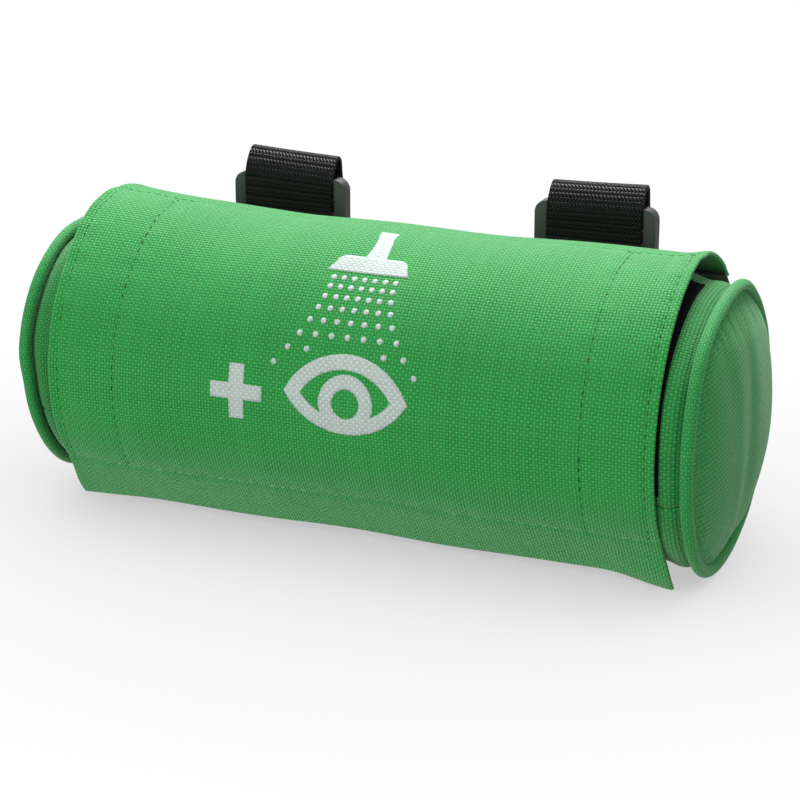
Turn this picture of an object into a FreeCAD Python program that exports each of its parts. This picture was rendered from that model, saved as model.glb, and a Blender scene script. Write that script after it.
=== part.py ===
import FreeCAD, Part
import math
import os

import Sketcher
from FreeCAD import Placement, Rotation, Vector

# An eyewash belt bag: a soft round bag, worn on a belt, that holds one bottle of eyewash.
#
# Sub-parts are drawn about the bag's own axis, in millimetres: +X along the bag, to the right as
# seen from the front, -Y to the front and +Z up.  Angles are degrees round that axis, measured up
# from straight ahead.  A common Placement then moves everything so that the row's origin is the
# middle of the gap that the belt passes through.

SIZES = [
    # alias, value, meaning
    ("sew_gap", 0.05, "clearance between two layers that are sewn together"),
    ("cut_over", 1.0, "how far a cut runs past the solid it opens"),
    ("piping_ring", 45.6, "piping's ring, centre line radius"),
    ("piping_cord", 2.0, "piping's cord radius"),
    ("piping_x", 111.0, "piping's distance from the middle of the bag"),
    ("wall_outer", 44.5, "bag wall's outer radius"),
    ("wall_thick", 2.4, "padded bag wall"),
    ("wall_half", 109.2, "half of the bag wall's length"),
    ("seam_front", -20.0, "angle of the front seam"),
    ("seam_back", 110.0, "angle of the back seam"),
    ("mouth_half", 76.0, "half of the mouth's length, between the end bands"),
    ("lip_sweep", 1.5, "angle taken by the binding on each lip"),
    ("lip_proud", 0.3, "binding stands this proud of the wall on both faces"),
    ("panel_radius", 43.5, "end panel's rim radius"),
    ("panel_x", 111.1, "end panel's rim, outer face"),
    ("panel_rise", 7.85, "end panel's crown above its rim"),
    ("panel_thick", 1.6, "end panel's thickness"),
    ("flap_inner", 46.5, "flap's inner radius"),
    ("flap_thick", 1.2, "flap's thickness"),
    ("flap_width", 199.0, "flap's width along the bag"),
    ("flap_shift", 2.4, "flap's middle, right of the bag's middle"),
    ("flap_front", -40.0, "angle where the flap leaves the bag"),
    ("flap_tail", 19.0, "flap's straight free edge beyond that"),
    ("flap_back", 122.5, "angle where the flap's top edge is sewn down"),
    ("tape_start", 125.0, "seam tape's first angle"),
    ("tape_sweep", 12.0, "seam tape's sweep"),
    ("tape_thick", 1.3, "seam tape's thickness"),
    ("lining_thick", 0.5, "flap lining's thickness"),
    ("lining_inset", 1.0, "flap lining's distance from each hook strip"),
    ("lining_start", -38.0, "flap lining's first angle"),
    ("lining_sweep", 155.0, "flap lining's sweep"),
    ("hook_thick", 0.85, "hook strip's thickness"),
    ("hook_width", 22.5, "hook strip's width"),
    ("hook_inset", 1.4, "hook strip's distance from the flap's edge"),
    ("hook_start", -37.0, "hook strip's first angle"),
    ("hook_sweep", 128.0, "hook strip's sweep"),
    ("loop_thick", 0.95, "loop strip's thickness"),
    ("loop_start", -15.0, "loop strip's first angle"),
    ("loop_sweep", 104.0, "loop strip's sweep"),
    ("loop_inner", 77.0, "loop strip's inner edge, from the bag's middle"),
    ("left_loop_outer", 96.5, "left loop strip's outer edge, from the bag's middle"),
    ("right_loop_outer", 102.6, "right loop strip's outer edge, from the bag's middle"),
    ("strap_x", 54.3, "strap and buckle's distance from the middle of the pair"),
    ("strap_shift", -1.9, "middle of the pair of straps, right of the bag's middle"),
    ("web_width", 32.0, "webbing's width"),
    ("web_thick", 1.6, "webbing's thickness"),
    ("web_leg", 60.6, "outer leg's inner face, behind the bag's axis"),
    ("bend_radius", 5.6, "inner radius of the webbing's lower bend"),
    ("fold_height", 48.6, "height where the top fold starts"),
    ("strap_join", 5.0, "height where the sewn webbing meets the buckled webbing"),
    ("anchor_height", -23.2, "height where the lower bend starts"),
    ("anchor_start", 205.0, "anchor patch's first angle"),
    ("anchor_sweep", 23.0, "anchor patch's sweep"),
    ("anchor_width", 36.0, "anchor patch's width"),
    ("tab_start", 184.0, "socket tab patch's first angle"),
    ("tab_sweep", 19.0, "socket tab patch's sweep"),
    ("tab_root", -7.0, "lower end of the socket tab's leg"),
    ("free_end", 31.6, "height of the webbing's free end, in front of the latch"),
    ("buckle_y", 50.0, "buckle's mid-plane, behind the bag's axis"),
    ("buckle_half", 20.5, "half of the buckle's width"),
    ("socket_thick", 8.4, "socket's thickness"),
    ("latch_thick", 4.7, "latch frame's thickness"),
    ("buckle_round", 3.0, "buckle's corner radius"),
    ("shoulder_round", 4.0, "latch's shoulder radius"),
    ("window_half", 16.4, "half of the webbing window's width"),
    ("socket_low", 1.0, "socket's lower end"),
    ("socket_web", 9.6, "top of the socket's webbing window"),
    ("socket_floor", 12.0, "floor of the socket's cavity"),
    ("socket_top", 30.0, "socket's mouth"),
    ("cavity_half", 16.9, "half of the cavity's width"),
    ("cavity_thick", 5.2, "cavity's thickness"),
    ("catch_low", 15.0, "side window's lower edge"),
    ("catch_top", 23.5, "side window's upper edge"),
    ("tab_bar_z", 5.0, "height of the socket's webbing bar"),
    ("latch_low", 30.2, "latch frame's lower edge"),
    ("latch_web", 36.5, "latch window's lower edge"),
    ("latch_top", 49.0, "latch's shoulders"),
    ("latch_bar_z", 44.4, "height of the latch's webbing bar"),
    ("bar_radius", 2.2, "webbing bar's radius"),
    ("bar_bite", 1.0, "how far a bar runs into the frame at each end"),
    ("bar_slack", 0.2, "gap between a bar and the webbing round it"),
    ("prong_thick", 4.5, "prong's thickness"),
    ("prong_in", 11.5, "prong's inner side"),
    ("prong_out", 16.2, "prong's outer side"),
    ("prong_tip", 15.2, "prong's tip"),
    ("prong_root", 31.2, "prong's root, inside the frame"),
    ("catch_out", 20.1, "catch's outer side"),
    ("catch_height", 4.0, "catch's height along its outer side"),
    ("catch_slope", 0.4, "catch's upper edge falls this much towards its outer side"),
    ("catch_shoulder", 22.9, "catch's upper edge"),
    ("guide_half", 3.0, "half of the centre guide's width"),
    ("bottle_z", -6.6, "bottle's axis, from the bag's axis"),
    ("bottle_base", -106.0, "bottle's base"),
    ("bottle_radius", 35.0, "bottle's outer radius"),
    ("bottle_wall", 1.2, "bottle's wall"),
    ("base_chamfer", 4.0, "bottle's base edge"),
    ("shoulder_x", 50.0, "bottle's shoulder starts"),
    ("neck_x", 66.0, "bottle's neck starts"),
    ("neck_end", 82.0, "bottle's neck ends"),
    ("neck_radius", 14.0, "bottle's neck"),
    ("fill_end", 36.0, "liquid's end, for half a litre"),
    ("fill_gap", 0.15, "liquid's clearance inside the bottle"),
    ("label_low", -82.0, "label's left edge"),
    ("label_high", 34.0, "label's right edge"),
    ("label_thick", 0.2, "label's thickness"),
    ("gasket_thick", 1.5, "sealing ring's thickness"),
    ("gasket_bore", 9.0, "sealing ring's bore radius"),
    ("gasket_inset", 0.2, "sealing ring's edge inside the neck's rim"),
    ("collar_low", 68.0, "screw collar's skirt"),
    ("collar_high", 86.0, "screw collar's face"),
    ("collar_radius", 18.0, "screw collar's radius"),
    ("collar_bore", 9.6, "screw collar's opening radius"),
    ("plate_thick", 1.6, "spray plate's thickness"),
    ("plate_radius", 17.6, "spray plate's radius"),
    ("spray_radius", 0.7, "spray hole's radius"),
    ("spray_circle", 6.0, "spray holes' circle radius"),
    ("spray_count", 8, "spray holes on the circle"),
    ("cup_high", 103.0, "eye cup's rim"),
    ("cup_radius", 26.5, "eye cup's rim radius"),
    ("cup_root", 17.6, "eye cup's root radius"),
    ("cup_wall", 1.6, "eye cup's wall"),
    ("cup_foot", 2.0, "eye cup's straight foot"),
    ("cup_floor", 2.5, "eye cup's straight foot on the inside"),
    ("cap_low", 93.0, "dust cap's skirt"),
    ("cap_high", 107.0, "dust cap's face"),
    ("cap_radius", 29.0, "dust cap's radius"),
    ("cap_wall", 1.7, "dust cap's wall"),
    ("belt_y", 57.4, "belt gap's middle, behind the bag's axis"),
    ("belt_z", 14.0, "belt gap's middle, above the bag's axis"),
]
VALUES = {name: float(value) for name, value, meaning in SIZES}

X_AXIS = Vector(1, 0, 0)
Z_AXIS = Vector(0, 0, 1)
# Turns a primitive's own Z to -X and its X to the front, so that turning it about its own Z
# by an angle raises it that far round the bag.
ROUND_THE_BAG = Rotation(Vector(0, -1, 0), Z_AXIS, Vector(-1, 0, 0), "ZXY")
ALONG_X = Rotation(Vector(0, 1, 0), 90)

doc = FreeCAD.newDocument("eyewash_belt_bag")
sheet = doc.addObject("Spreadsheet::Sheet", "dim")
subparts = []


def write_sheet():
    """Puts every driving dimension in its own cell, under its alias."""
    for row, (alias, value, meaning) in enumerate(SIZES, start=1):
        sheet.set(f"A{row}", alias)
        sheet.set(f"B{row}", str(value))
        sheet.set(f"C{row}", meaning)
        sheet.setAlias(f"B{row}", alias)
    doc.recompute()


def bind(obj, formulas):
    """Ties an object's properties to the sheet; formulas maps a property path to a formula."""
    for path, formula in formulas.items():
        obj.setExpression(path, formula)


def keep(obj, label, across="0", up="0", along="0"):
    """Makes an object a sub-part: its Label names its file, its Placement takes it to the row's frame."""
    obj.Label = label
    bind(obj, {
        ".Placement.Base.x": along,
        ".Placement.Base.y": f"{across} - dim.belt_y",
        ".Placement.Base.z": f"{up} - dim.belt_z",
    })
    subparts.append(obj)
    return obj


# ---- building blocks made of primitives

def box(name, width, depth, height, corner_x, corner_y, corner_z):
    solid = doc.addObject("Part::Box", name)
    bind(solid, {
        "Length": width, "Width": depth, "Height": height,
        ".Placement.Base.x": corner_x, ".Placement.Base.y": corner_y, ".Placement.Base.z": corner_z,
    })
    return solid


def cut(name, base, tool):
    result = doc.addObject("Part::Cut", name)
    result.Base = base
    result.Tool = tool
    return result


def fuse(name, shapes):
    result = doc.addObject("Part::MultiFuse", name)
    result.Shapes = shapes
    return result


def curved_sheet(name, inner, outer, low, high, start, sweep):
    """A sheet curved about the bag's axis, from low to high along it and sweep degrees on from start."""
    turn = ROUND_THE_BAG.multiply(Rotation(Z_AXIS, start))
    rind = doc.addObject("Part::Cylinder", name + "_rind")
    rind.Placement = Placement(Vector(), turn)
    bind(rind, {
        "Radius": outer, "Height": f"{high} - ({low})", "Angle": str(sweep),
        ".Placement.Base.x": high,
    })
    core = doc.addObject("Part::Cylinder", name + "_core")
    core.Placement = Placement(Vector(), turn)
    bind(core, {"Radius": inner, "Height": f"{high} - ({low})", ".Placement.Base.x": high})
    return cut(name, rind, core)


def bent_webbing(name, inner, middle_x, centre_y, centre_z, start, sweep):
    """Webbing bent about a line along X, sweep degrees on from start (0 is to the back, 90 is up)."""
    turn = ROUND_THE_BAG.multiply(Rotation(Z_AXIS, 180 - start - sweep))
    parts = []
    for suffix, radius, angle in (("_rind", f"{inner} + dim.web_thick", sweep), ("_core", inner, 360)):
        tube = doc.addObject("Part::Cylinder", name + suffix)
        tube.Placement = Placement(Vector(), turn)
        bind(tube, {
            "Radius": radius, "Height": "dim.web_width", "Angle": str(angle),
            ".Placement.Base.x": f"{middle_x} + dim.web_width / 2",
            ".Placement.Base.y": centre_y, ".Placement.Base.z": centre_z,
        })
        parts.append(tube)
    return cut(name, *parts)


# ---- building blocks made of sketches

def outline(body, name, plane_role, corners):
    """A closed outline on one of the body's origin planes; each corner is a pair of sheet formulas."""
    sketch = body.newObject("Sketcher::SketchObject", name)
    plane = next(item for item in body.Origin.OriginFeatures if item.Role == plane_role)
    sketch.AttachmentSupport = (plane, [""])
    sketch.MapMode = "FlatFace"
    count = len(corners)
    # The solver moves these first points to the corners that the sheet gives.
    first = [Vector(math.cos(math.tau * i / count), math.sin(math.tau * i / count)) for i in range(count)]
    for i in range(count):
        sketch.addGeometry(Part.LineSegment(first[i], first[(i + 1) % count]))
    for i in range(count):
        sketch.addConstraint(Sketcher.Constraint("Coincident", i, 2, (i + 1) % count, 1))
    for i, (x_formula, y_formula) in enumerate(corners):
        places = (("DistanceX", x_formula, first[i].x), ("DistanceY", y_formula, first[i].y))
        for kind, formula, value in places:
            index = sketch.addConstraint(Sketcher.Constraint(kind, -1, 1, i, 1, value))
            sketch.renameConstraint(index, f"{kind}_{i}")
            sketch.setExpression(f"Constraints.{kind}_{i}", formula)
    doc.recompute()
    return sketch


def rectangle(body, name, plane_role, low_x, high_x, low_y, high_y):
    return outline(body, name, plane_role,
                   [(low_x, low_y), (high_x, low_y), (high_x, high_y), (low_x, high_y)])


def slab(body, kind, sketch, thickness):
    """Pads or pockets a sketch by a thickness, half to each side of its plane."""
    before = body.Shape.Volume if body.Tip else 0.0
    feature = body.newObject(kind, f"{sketch.Name}_{'pad' if kind.endswith('Pad') else 'pocket'}")
    feature.Profile = sketch
    feature.Midplane = True
    feature.setExpression("Length", thickness)
    doc.recompute()
    assert abs(feature.Shape.Volume - before) > 1.0, f"{feature.Name} changed nothing"
    return feature


def turned(label, corners):
    """A body turned about the bottle's axis; each corner is (along the axis, radius)."""
    body = doc.addObject("PartDesign::Body", label)
    sketch = outline(body, f"{label}_profile", "XY_Plane", corners)
    turn = body.newObject("PartDesign::Revolution", f"{label}_turn")
    turn.Profile = sketch
    turn.ReferenceAxis = (sketch, ["H_Axis"])
    turn.Angle = 360
    doc.recompute()
    return keep(body, label, up="dim.bottle_z")


# ---- the bag

def make_bag():
    wall_inner = "dim.wall_outer - dim.wall_thick"
    over_the_top = VALUES["seam_back"] - VALUES["seam_front"]
    keep(curved_sheet("bag_sheet", wall_inner, "dim.wall_outer", "-dim.wall_half", "dim.wall_half",
                      VALUES["seam_back"], 360 - over_the_top), "bag_panel")

    seam = math.degrees(VALUES["sew_gap"] / VALUES["wall_outer"])
    loop_inner = "dim.wall_outer + dim.sew_gap"
    ends = (("left", "-dim.wall_half", "-dim.mouth_half"), ("right", "dim.mouth_half", "dim.wall_half"))
    for side, low, high in ends:
        keep(curved_sheet(f"{side}_band_sheet", wall_inner, "dim.wall_outer", low, high,
                          VALUES["seam_front"] + seam, over_the_top - 2 * seam), f"{side}_end_band")
    strips = (("left", "-dim.left_loop_outer", "-dim.loop_inner"),
              ("right", "dim.loop_inner", "dim.right_loop_outer"))
    for side, low, high in strips:
        keep(curved_sheet(f"{side}_loop_sheet", loop_inner, f"{loop_inner} + dim.loop_thick", low, high,
                          VALUES["loop_start"], VALUES["loop_sweep"]), f"{side}_loop_strip")
    for side, sign in (("left", -1), ("right", 1)):
        make_piping(side, sign)
        make_end_panel(side, sign)

    lip_inner = "dim.wall_outer - dim.wall_thick - dim.lip_proud"
    lip_outer = "dim.wall_outer + dim.lip_proud"
    lips = (("front", VALUES["seam_front"] + seam),
            ("back", VALUES["seam_back"] - VALUES["lip_sweep"] - seam))
    for name, start in lips:
        keep(curved_sheet(f"{name}_lip_sheet", lip_inner, lip_outer,
                          "-dim.mouth_half + dim.sew_gap", "dim.mouth_half - dim.sew_gap",
                          start, VALUES["lip_sweep"]), f"{name}_lip_binding")


def make_piping(side, sign):
    piping = doc.addObject("Part::Torus", f"{side}_piping_ring")
    piping.Placement = Placement(Vector(), ALONG_X)
    bind(piping, {"Radius1": "dim.piping_ring", "Radius2": "dim.piping_cord"})
    keep(piping, f"{side}_piping", along=f"{sign} * dim.piping_x")


def make_end_panel(side, sign):
    """The bag's round end: a shallow dome, cut from a shell of a large ball."""
    ball = "((dim.panel_radius ^ 2 + dim.panel_rise ^ 2) / (2 * dim.panel_rise))"
    centre = f"{sign} * (dim.panel_x + dim.panel_rise - {ball})"
    shells = []
    for suffix, radius in (("_outside", ball), ("_inside", f"{ball} - dim.panel_thick")):
        shell = doc.addObject("Part::Sphere", f"{side}_panel{suffix}")
        bind(shell, {"Radius": radius, ".Placement.Base.x": centre})
        shells.append(shell)
    edge = doc.addObject("Part::Cylinder", f"{side}_panel_edge")
    edge.Placement = Placement(Vector(), ALONG_X)
    depth = "(2 * dim.panel_rise)"
    start = "dim.panel_x - dim.panel_rise" if sign > 0 else f"-dim.panel_x + dim.panel_rise - {depth}"
    bind(edge, {"Radius": "dim.panel_radius", "Height": depth, ".Placement.Base.x": start})
    panel = doc.addObject("Part::Common", f"{side}_panel_dome")
    panel.Base = cut(f"{side}_panel_shell", *shells)
    panel.Tool = edge
    keep(panel, f"{side}_end_panel")


def make_flap():
    low = "(dim.flap_shift - dim.flap_width / 2)"
    high = "(dim.flap_shift + dim.flap_width / 2)"
    front = math.radians(VALUES["flap_front"])
    outward = Vector(0, -math.cos(front), math.sin(front))
    downward = Vector(0, -math.sin(front), -math.cos(front))
    arc = curved_sheet("flap_sheet", "dim.flap_inner", "dim.flap_inner + dim.flap_thick", low, high,
                       VALUES["flap_front"], VALUES["flap_back"] - VALUES["flap_front"])
    tail = doc.addObject("Part::Box", "flap_free_edge")
    tail.Placement = Placement(Vector(), Rotation(X_AXIS, downward, outward.negative(), "XYZ"))
    rim = "(dim.flap_inner + dim.flap_thick)"
    bind(tail, {
        "Length": "dim.flap_width", "Width": "dim.flap_tail", "Height": "dim.flap_thick",
        ".Placement.Base.x": low,
        ".Placement.Base.y": f"-{rim} * cos(dim.flap_front * 1deg)",
        ".Placement.Base.z": f"{rim} * sin(dim.flap_front * 1deg)",
    })
    keep(fuse("flap_cloth", [arc, tail]), "flap_panel")

    under = "dim.flap_inner - dim.sew_gap"
    hook_left = f"{low} + dim.hook_inset"
    hook_right = f"{high} - dim.hook_inset - dim.hook_width"
    for side, start in (("left", hook_left), ("right", hook_right)):
        keep(curved_sheet(f"{side}_hook_sheet", f"{under} - dim.hook_thick", under,
                          start, f"{start} + dim.hook_width",
                          VALUES["hook_start"], VALUES["hook_sweep"]), f"{side}_hook_strip")
    keep(curved_sheet("lining_sheet", f"{under} - dim.lining_thick", under,
                      f"{hook_left} + dim.hook_width + dim.lining_inset", f"{hook_right} - dim.lining_inset",
                      VALUES["lining_start"], VALUES["lining_sweep"]), "flap_lining")

    tape_inner = "dim.wall_outer + dim.sew_gap"
    keep(curved_sheet("tape_sheet", tape_inner, f"{tape_inner} + dim.tape_thick", low, high,
                      VALUES["tape_start"], VALUES["tape_sweep"]), "flap_seam_tape")


# ---- the two belt straps, each with its side-release buckle

def strap_middle(sign):
    return f"({sign} * dim.strap_x + dim.strap_shift)"


def make_strap(side, sign):
    middle = strap_middle(sign)
    left_edge = f"{middle} - dim.web_width / 2"
    patch_inner = "dim.wall_outer + dim.sew_gap"
    leg_depth = "dim.web_thick"
    bend_y = "dim.web_leg - dim.bend_radius"
    bend_outer = "dim.bend_radius + dim.web_thick"

    # Sewn to the bag: patch, level leg, lower bend and the first stretch of the outer leg.
    patch = curved_sheet(f"{side}_anchor_patch", patch_inner, f"{patch_inner} + dim.web_thick",
                         f"{middle} - dim.anchor_width / 2", f"{middle} + dim.anchor_width / 2",
                         VALUES["anchor_start"], VALUES["anchor_sweep"])
    level_low = f"dim.anchor_height - ({bend_outer})"
    inner_end = f"sqrt((dim.wall_outer + dim.web_thick) ^ 2 - ({level_low}) ^ 2)"
    level = box(f"{side}_level_leg", "dim.web_width", f"{bend_y} - {inner_end}", leg_depth,
                left_edge, inner_end, level_low)
    bend = bent_webbing(f"{side}_lower_bend", "dim.bend_radius", middle, bend_y, "dim.anchor_height", -90, 90)
    low_leg = box(f"{side}_low_leg", "dim.web_width", leg_depth, "dim.strap_join - dim.anchor_height",
                  left_edge, "dim.web_leg", "dim.anchor_height")
    keep(fuse(f"{side}_anchor_webbing", [patch, level, bend, low_leg]), f"{side}_strap_anchor")

    # Carried by the latch: the rest of the outer leg, the top fold, the front ply down to its free
    # end, and the loop round the bar.
    join = "dim.strap_join + 2 * dim.sew_gap"
    high_leg = box(f"{side}_high_leg", "dim.web_width", leg_depth, f"dim.fold_height - ({join})",
                   left_edge, "dim.web_leg", join)
    loop_inner = "(dim.bar_radius + dim.bar_slack)"
    front_back = f"(dim.buckle_y - {loop_inner})"
    fold_radius = f"((dim.web_leg - {front_back}) / 2)"
    fold = bent_webbing(f"{side}_top_fold", fold_radius, middle, f"dim.web_leg - {fold_radius}",
                        "dim.fold_height", 0, 180)
    front_ply = box(f"{side}_front_ply", "dim.web_width", leg_depth, "dim.fold_height - dim.free_end",
                    left_edge, f"{front_back} - dim.web_thick", "dim.free_end")
    loop = bent_webbing(f"{side}_bar_loop", loop_inner, middle, "dim.buckle_y", "dim.latch_bar_z", 0, 360)
    keep(fuse(f"{side}_strap_webbing", [high_leg, fold, front_ply, loop]), f"{side}_belt_strap")


def make_socket_tab(side, sign):
    """Short webbing that holds the socket: sewn to the bag, up and round the socket's bar."""
    middle = strap_middle(sign)
    patch_inner = "dim.wall_outer + dim.sew_gap"
    patch = curved_sheet(f"{side}_tab_patch", patch_inner, f"{patch_inner} + dim.web_thick",
                         f"{middle} - dim.web_width / 2", f"{middle} + dim.web_width / 2",
                         VALUES["tab_start"], VALUES["tab_sweep"])
    loop_inner = "(dim.bar_radius + dim.bar_slack)"
    loop = bent_webbing(f"{side}_tab_loop", loop_inner, middle, "dim.buckle_y", "dim.tab_bar_z", 0, 360)
    leg = box(f"{side}_tab_leg", "dim.web_width", "dim.web_thick", "dim.tab_bar_z - dim.tab_root",
              f"{middle} - dim.web_width / 2", f"dim.buckle_y - {loop_inner} - dim.web_thick", "dim.tab_root")
    keep(fuse(f"{side}_tab_webbing", [patch, leg, loop]), f"{side}_socket_tab")


def add_bar(body, height):
    """A round bar across the webbing window."""
    sketch = body.newObject("Sketcher::SketchObject", f"{body.Name}_bar_end")
    plane = next(item for item in body.Origin.OriginFeatures if item.Role == "YZ_Plane")
    sketch.AttachmentSupport = (plane, [""])
    sketch.MapMode = "FlatFace"
    sketch.addGeometry(Part.Circle(Vector(0, VALUES[height], 0), Z_AXIS, VALUES["bar_radius"]))
    sketch.addConstraint(Sketcher.Constraint("PointOnObject", 0, 3, -2))
    sketch.addConstraint(Sketcher.Constraint("DistanceY", -1, 1, 0, 3, VALUES[height]))
    sketch.addConstraint(Sketcher.Constraint("Radius", 0, VALUES["bar_radius"]))
    sketch.setExpression("Constraints[1]", f"dim.{height}")
    sketch.setExpression("Constraints[2]", "dim.bar_radius")
    doc.recompute()
    return slab(body, "PartDesign::Pad", sketch, "2 * (dim.window_half + dim.bar_bite)")


def round_corners(body, feature, radius, wanted):
    """Fillets the edges that run through the buckle's thickness and that wanted() picks."""
    names = []
    for index, edge in enumerate(feature.Shape.Edges, start=1):
        ends = [vertex.Point for vertex in edge.Vertexes]
        if len(ends) == 2 and abs(abs(ends[0].y - ends[1].y) - edge.Length) < 1e-6 and wanted(ends[0]):
            names.append(f"Edge{index}")
    assert names, f"no corner found on {feature.Name}"
    fillet = body.newObject("PartDesign::Fillet", f"{body.Name}_corners")
    fillet.Base = (feature, names)
    fillet.setExpression("Radius", radius)
    doc.recompute()
    return fillet


def make_socket(side, sign):
    """The buckle's socket: a flat box open at the top, with a window at each side for the catches."""
    body = doc.addObject("PartDesign::Body", f"{side}_socket")
    block = rectangle(body, f"{side}_socket_block", "XZ_Plane",
                      "-dim.buckle_half", "dim.buckle_half", "dim.socket_low", "dim.socket_top")
    pad = slab(body, "PartDesign::Pad", block, "dim.socket_thick")
    round_corners(body, pad, "dim.buckle_round", lambda point: point.z < VALUES["socket_floor"])
    web = rectangle(body, f"{side}_socket_window", "XZ_Plane",
                    "-dim.window_half", "dim.window_half", "dim.socket_low - dim.cut_over", "dim.socket_web")
    slab(body, "PartDesign::Pocket", web, "2 * dim.socket_thick")
    cavity = rectangle(body, f"{side}_socket_cavity", "XZ_Plane", "-dim.cavity_half", "dim.cavity_half",
                       "dim.socket_floor", "dim.socket_top + dim.cut_over")
    slab(body, "PartDesign::Pocket", cavity, "dim.cavity_thick")
    windows = rectangle(body, f"{side}_socket_sides", "XZ_Plane",
                        "-dim.buckle_half - dim.cut_over", "dim.buckle_half + dim.cut_over",
                        "dim.catch_low", "dim.catch_top")
    slab(body, "PartDesign::Pocket", windows, "dim.cavity_thick")
    add_bar(body, "tab_bar_z")
    keep(body, f"{side}_buckle_socket", across="dim.buckle_y", along=strap_middle(sign))


def make_latch(side, sign):
    """The buckle's latch: a frame with the webbing's bar, two springy prongs and a centre guide."""
    body = doc.addObject("PartDesign::Body", f"{side}_latch")
    block = rectangle(body, f"{side}_latch_block", "XZ_Plane",
                      "-dim.buckle_half", "dim.buckle_half", "dim.latch_low", "dim.latch_top")
    pad = slab(body, "PartDesign::Pad", block, "dim.latch_thick")
    round_corners(body, pad, "dim.shoulder_round", lambda point: point.z > VALUES["latch_web"])
    web = rectangle(body, f"{side}_latch_window", "XZ_Plane",
                    "-dim.window_half", "dim.window_half", "dim.latch_web", "dim.latch_top + dim.cut_over")
    slab(body, "PartDesign::Pocket", web, "2 * dim.latch_thick")
    add_bar(body, "latch_bar_z")
    root = "dim.prong_root"
    for prong_side, flip in (("left", "-1"), ("right", "1")):
        prong = outline(body, f"{side}_{prong_side}_prong", "XZ_Plane", [
            (f"{flip} * dim.prong_in", root),
            (f"{flip} * dim.prong_out", root),
            (f"{flip} * dim.prong_out", "dim.catch_shoulder + dim.catch_slope"),
            (f"{flip} * dim.catch_out", "dim.catch_shoulder"),
            (f"{flip} * dim.catch_out", "dim.catch_shoulder - dim.catch_height"),
            (f"{flip} * dim.prong_out", "dim.prong_tip"),
            (f"{flip} * dim.prong_in", "dim.prong_tip"),
        ])
        slab(body, "PartDesign::Pad", prong, "dim.prong_thick")
    guide = rectangle(body, f"{side}_guide", "XZ_Plane",
                      "-dim.guide_half", "dim.guide_half", "dim.prong_tip", root)
    slab(body, "PartDesign::Pad", guide, "dim.prong_thick")
    keep(body, f"{side}_buckle_latch", across="dim.buckle_y", along=strap_middle(sign))


# ---- the bottle and its eye cup

def make_bottle():
    inner = "dim.bottle_radius - dim.bottle_wall"
    neck_inner = "dim.neck_radius - dim.bottle_wall"
    floor = "dim.bottle_base + dim.bottle_wall"
    turned("bottle", [
        ("dim.bottle_base", "0"),
        ("dim.bottle_base", "dim.bottle_radius - dim.base_chamfer"),
        ("dim.bottle_base + dim.base_chamfer", "dim.bottle_radius"),
        ("dim.shoulder_x", "dim.bottle_radius"),
        ("dim.neck_x", "dim.neck_radius"),
        ("dim.neck_end", "dim.neck_radius"),
        ("dim.neck_end", neck_inner),
        ("dim.neck_x - dim.bottle_wall / 2", neck_inner),
        ("dim.shoulder_x - dim.bottle_wall / 2", inner),
        (f"{floor} + dim.base_chamfer", inner),
        (floor, f"{inner} - dim.base_chamfer"),
        (floor, "0"),
    ])
    fill_radius = f"{inner} - dim.fill_gap"
    fill_low = f"{floor} + dim.fill_gap"
    turned("saline_fill", [
        (fill_low, "0"),
        (fill_low, f"{fill_radius} - dim.base_chamfer"),
        (f"{fill_low} + dim.base_chamfer", fill_radius),
        ("dim.fill_end", fill_radius),
        ("dim.fill_end", "0"),
    ])
    label_inner = "dim.bottle_radius + dim.sew_gap"
    turned("bottle_label", [
        ("dim.label_low", label_inner),
        ("dim.label_low", f"{label_inner} + dim.label_thick"),
        ("dim.label_high", f"{label_inner} + dim.label_thick"),
        ("dim.label_high", label_inner),
    ])


def make_eye_cup():
    gap = "dim.sew_gap"
    gasket_low = f"dim.neck_end + {gap}"
    gasket_high = f"{gasket_low} + dim.gasket_thick"
    gasket_outer = "dim.neck_radius - dim.gasket_inset"
    turned("sealing_ring", [
        (gasket_low, "dim.gasket_bore"), (gasket_low, gasket_outer),
        (gasket_high, gasket_outer), (gasket_high, "dim.gasket_bore"),
    ])
    thread = f"dim.neck_radius + 2 * {gap}"
    turned("screw_collar", [
        ("dim.collar_low", thread), ("dim.collar_low", "dim.collar_radius"),
        ("dim.collar_high", "dim.collar_radius"), ("dim.collar_high", "dim.collar_bore"),
        (f"{gasket_high} + {gap}", "dim.collar_bore"), (f"{gasket_high} + {gap}", thread),
    ])
    plate_low = f"dim.collar_high + {gap}"
    plate_high = f"{plate_low} + dim.plate_thick"
    plate = turned("spray_plate", [
        (plate_low, "0"), (plate_low, "dim.plate_radius"),
        (plate_high, "dim.plate_radius"), (plate_high, "0"),
    ])
    drill_spray_holes(plate)
    cup_low = f"{plate_high} + {gap}"
    turned("eye_cup", [
        (cup_low, "dim.cup_root - dim.cup_wall"), (cup_low, "dim.cup_root"),
        (f"{cup_low} + dim.cup_foot", "dim.cup_root"), ("dim.cup_high", "dim.cup_radius"),
        ("dim.cup_high", "dim.cup_radius - dim.cup_wall"),
        (f"{cup_low} + dim.cup_floor", "dim.cup_root - dim.cup_wall"),
    ])
    cap_inner = "dim.cap_radius - dim.cap_wall"
    turned("dust_cap", [
        ("dim.cap_low", cap_inner), ("dim.cap_low", "dim.cap_radius"),
        ("dim.cap_high", "dim.cap_radius"), ("dim.cap_high", "0"),
        ("dim.cap_high - dim.cap_wall", "0"), ("dim.cap_high - dim.cap_wall", cap_inner),
    ])


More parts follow.
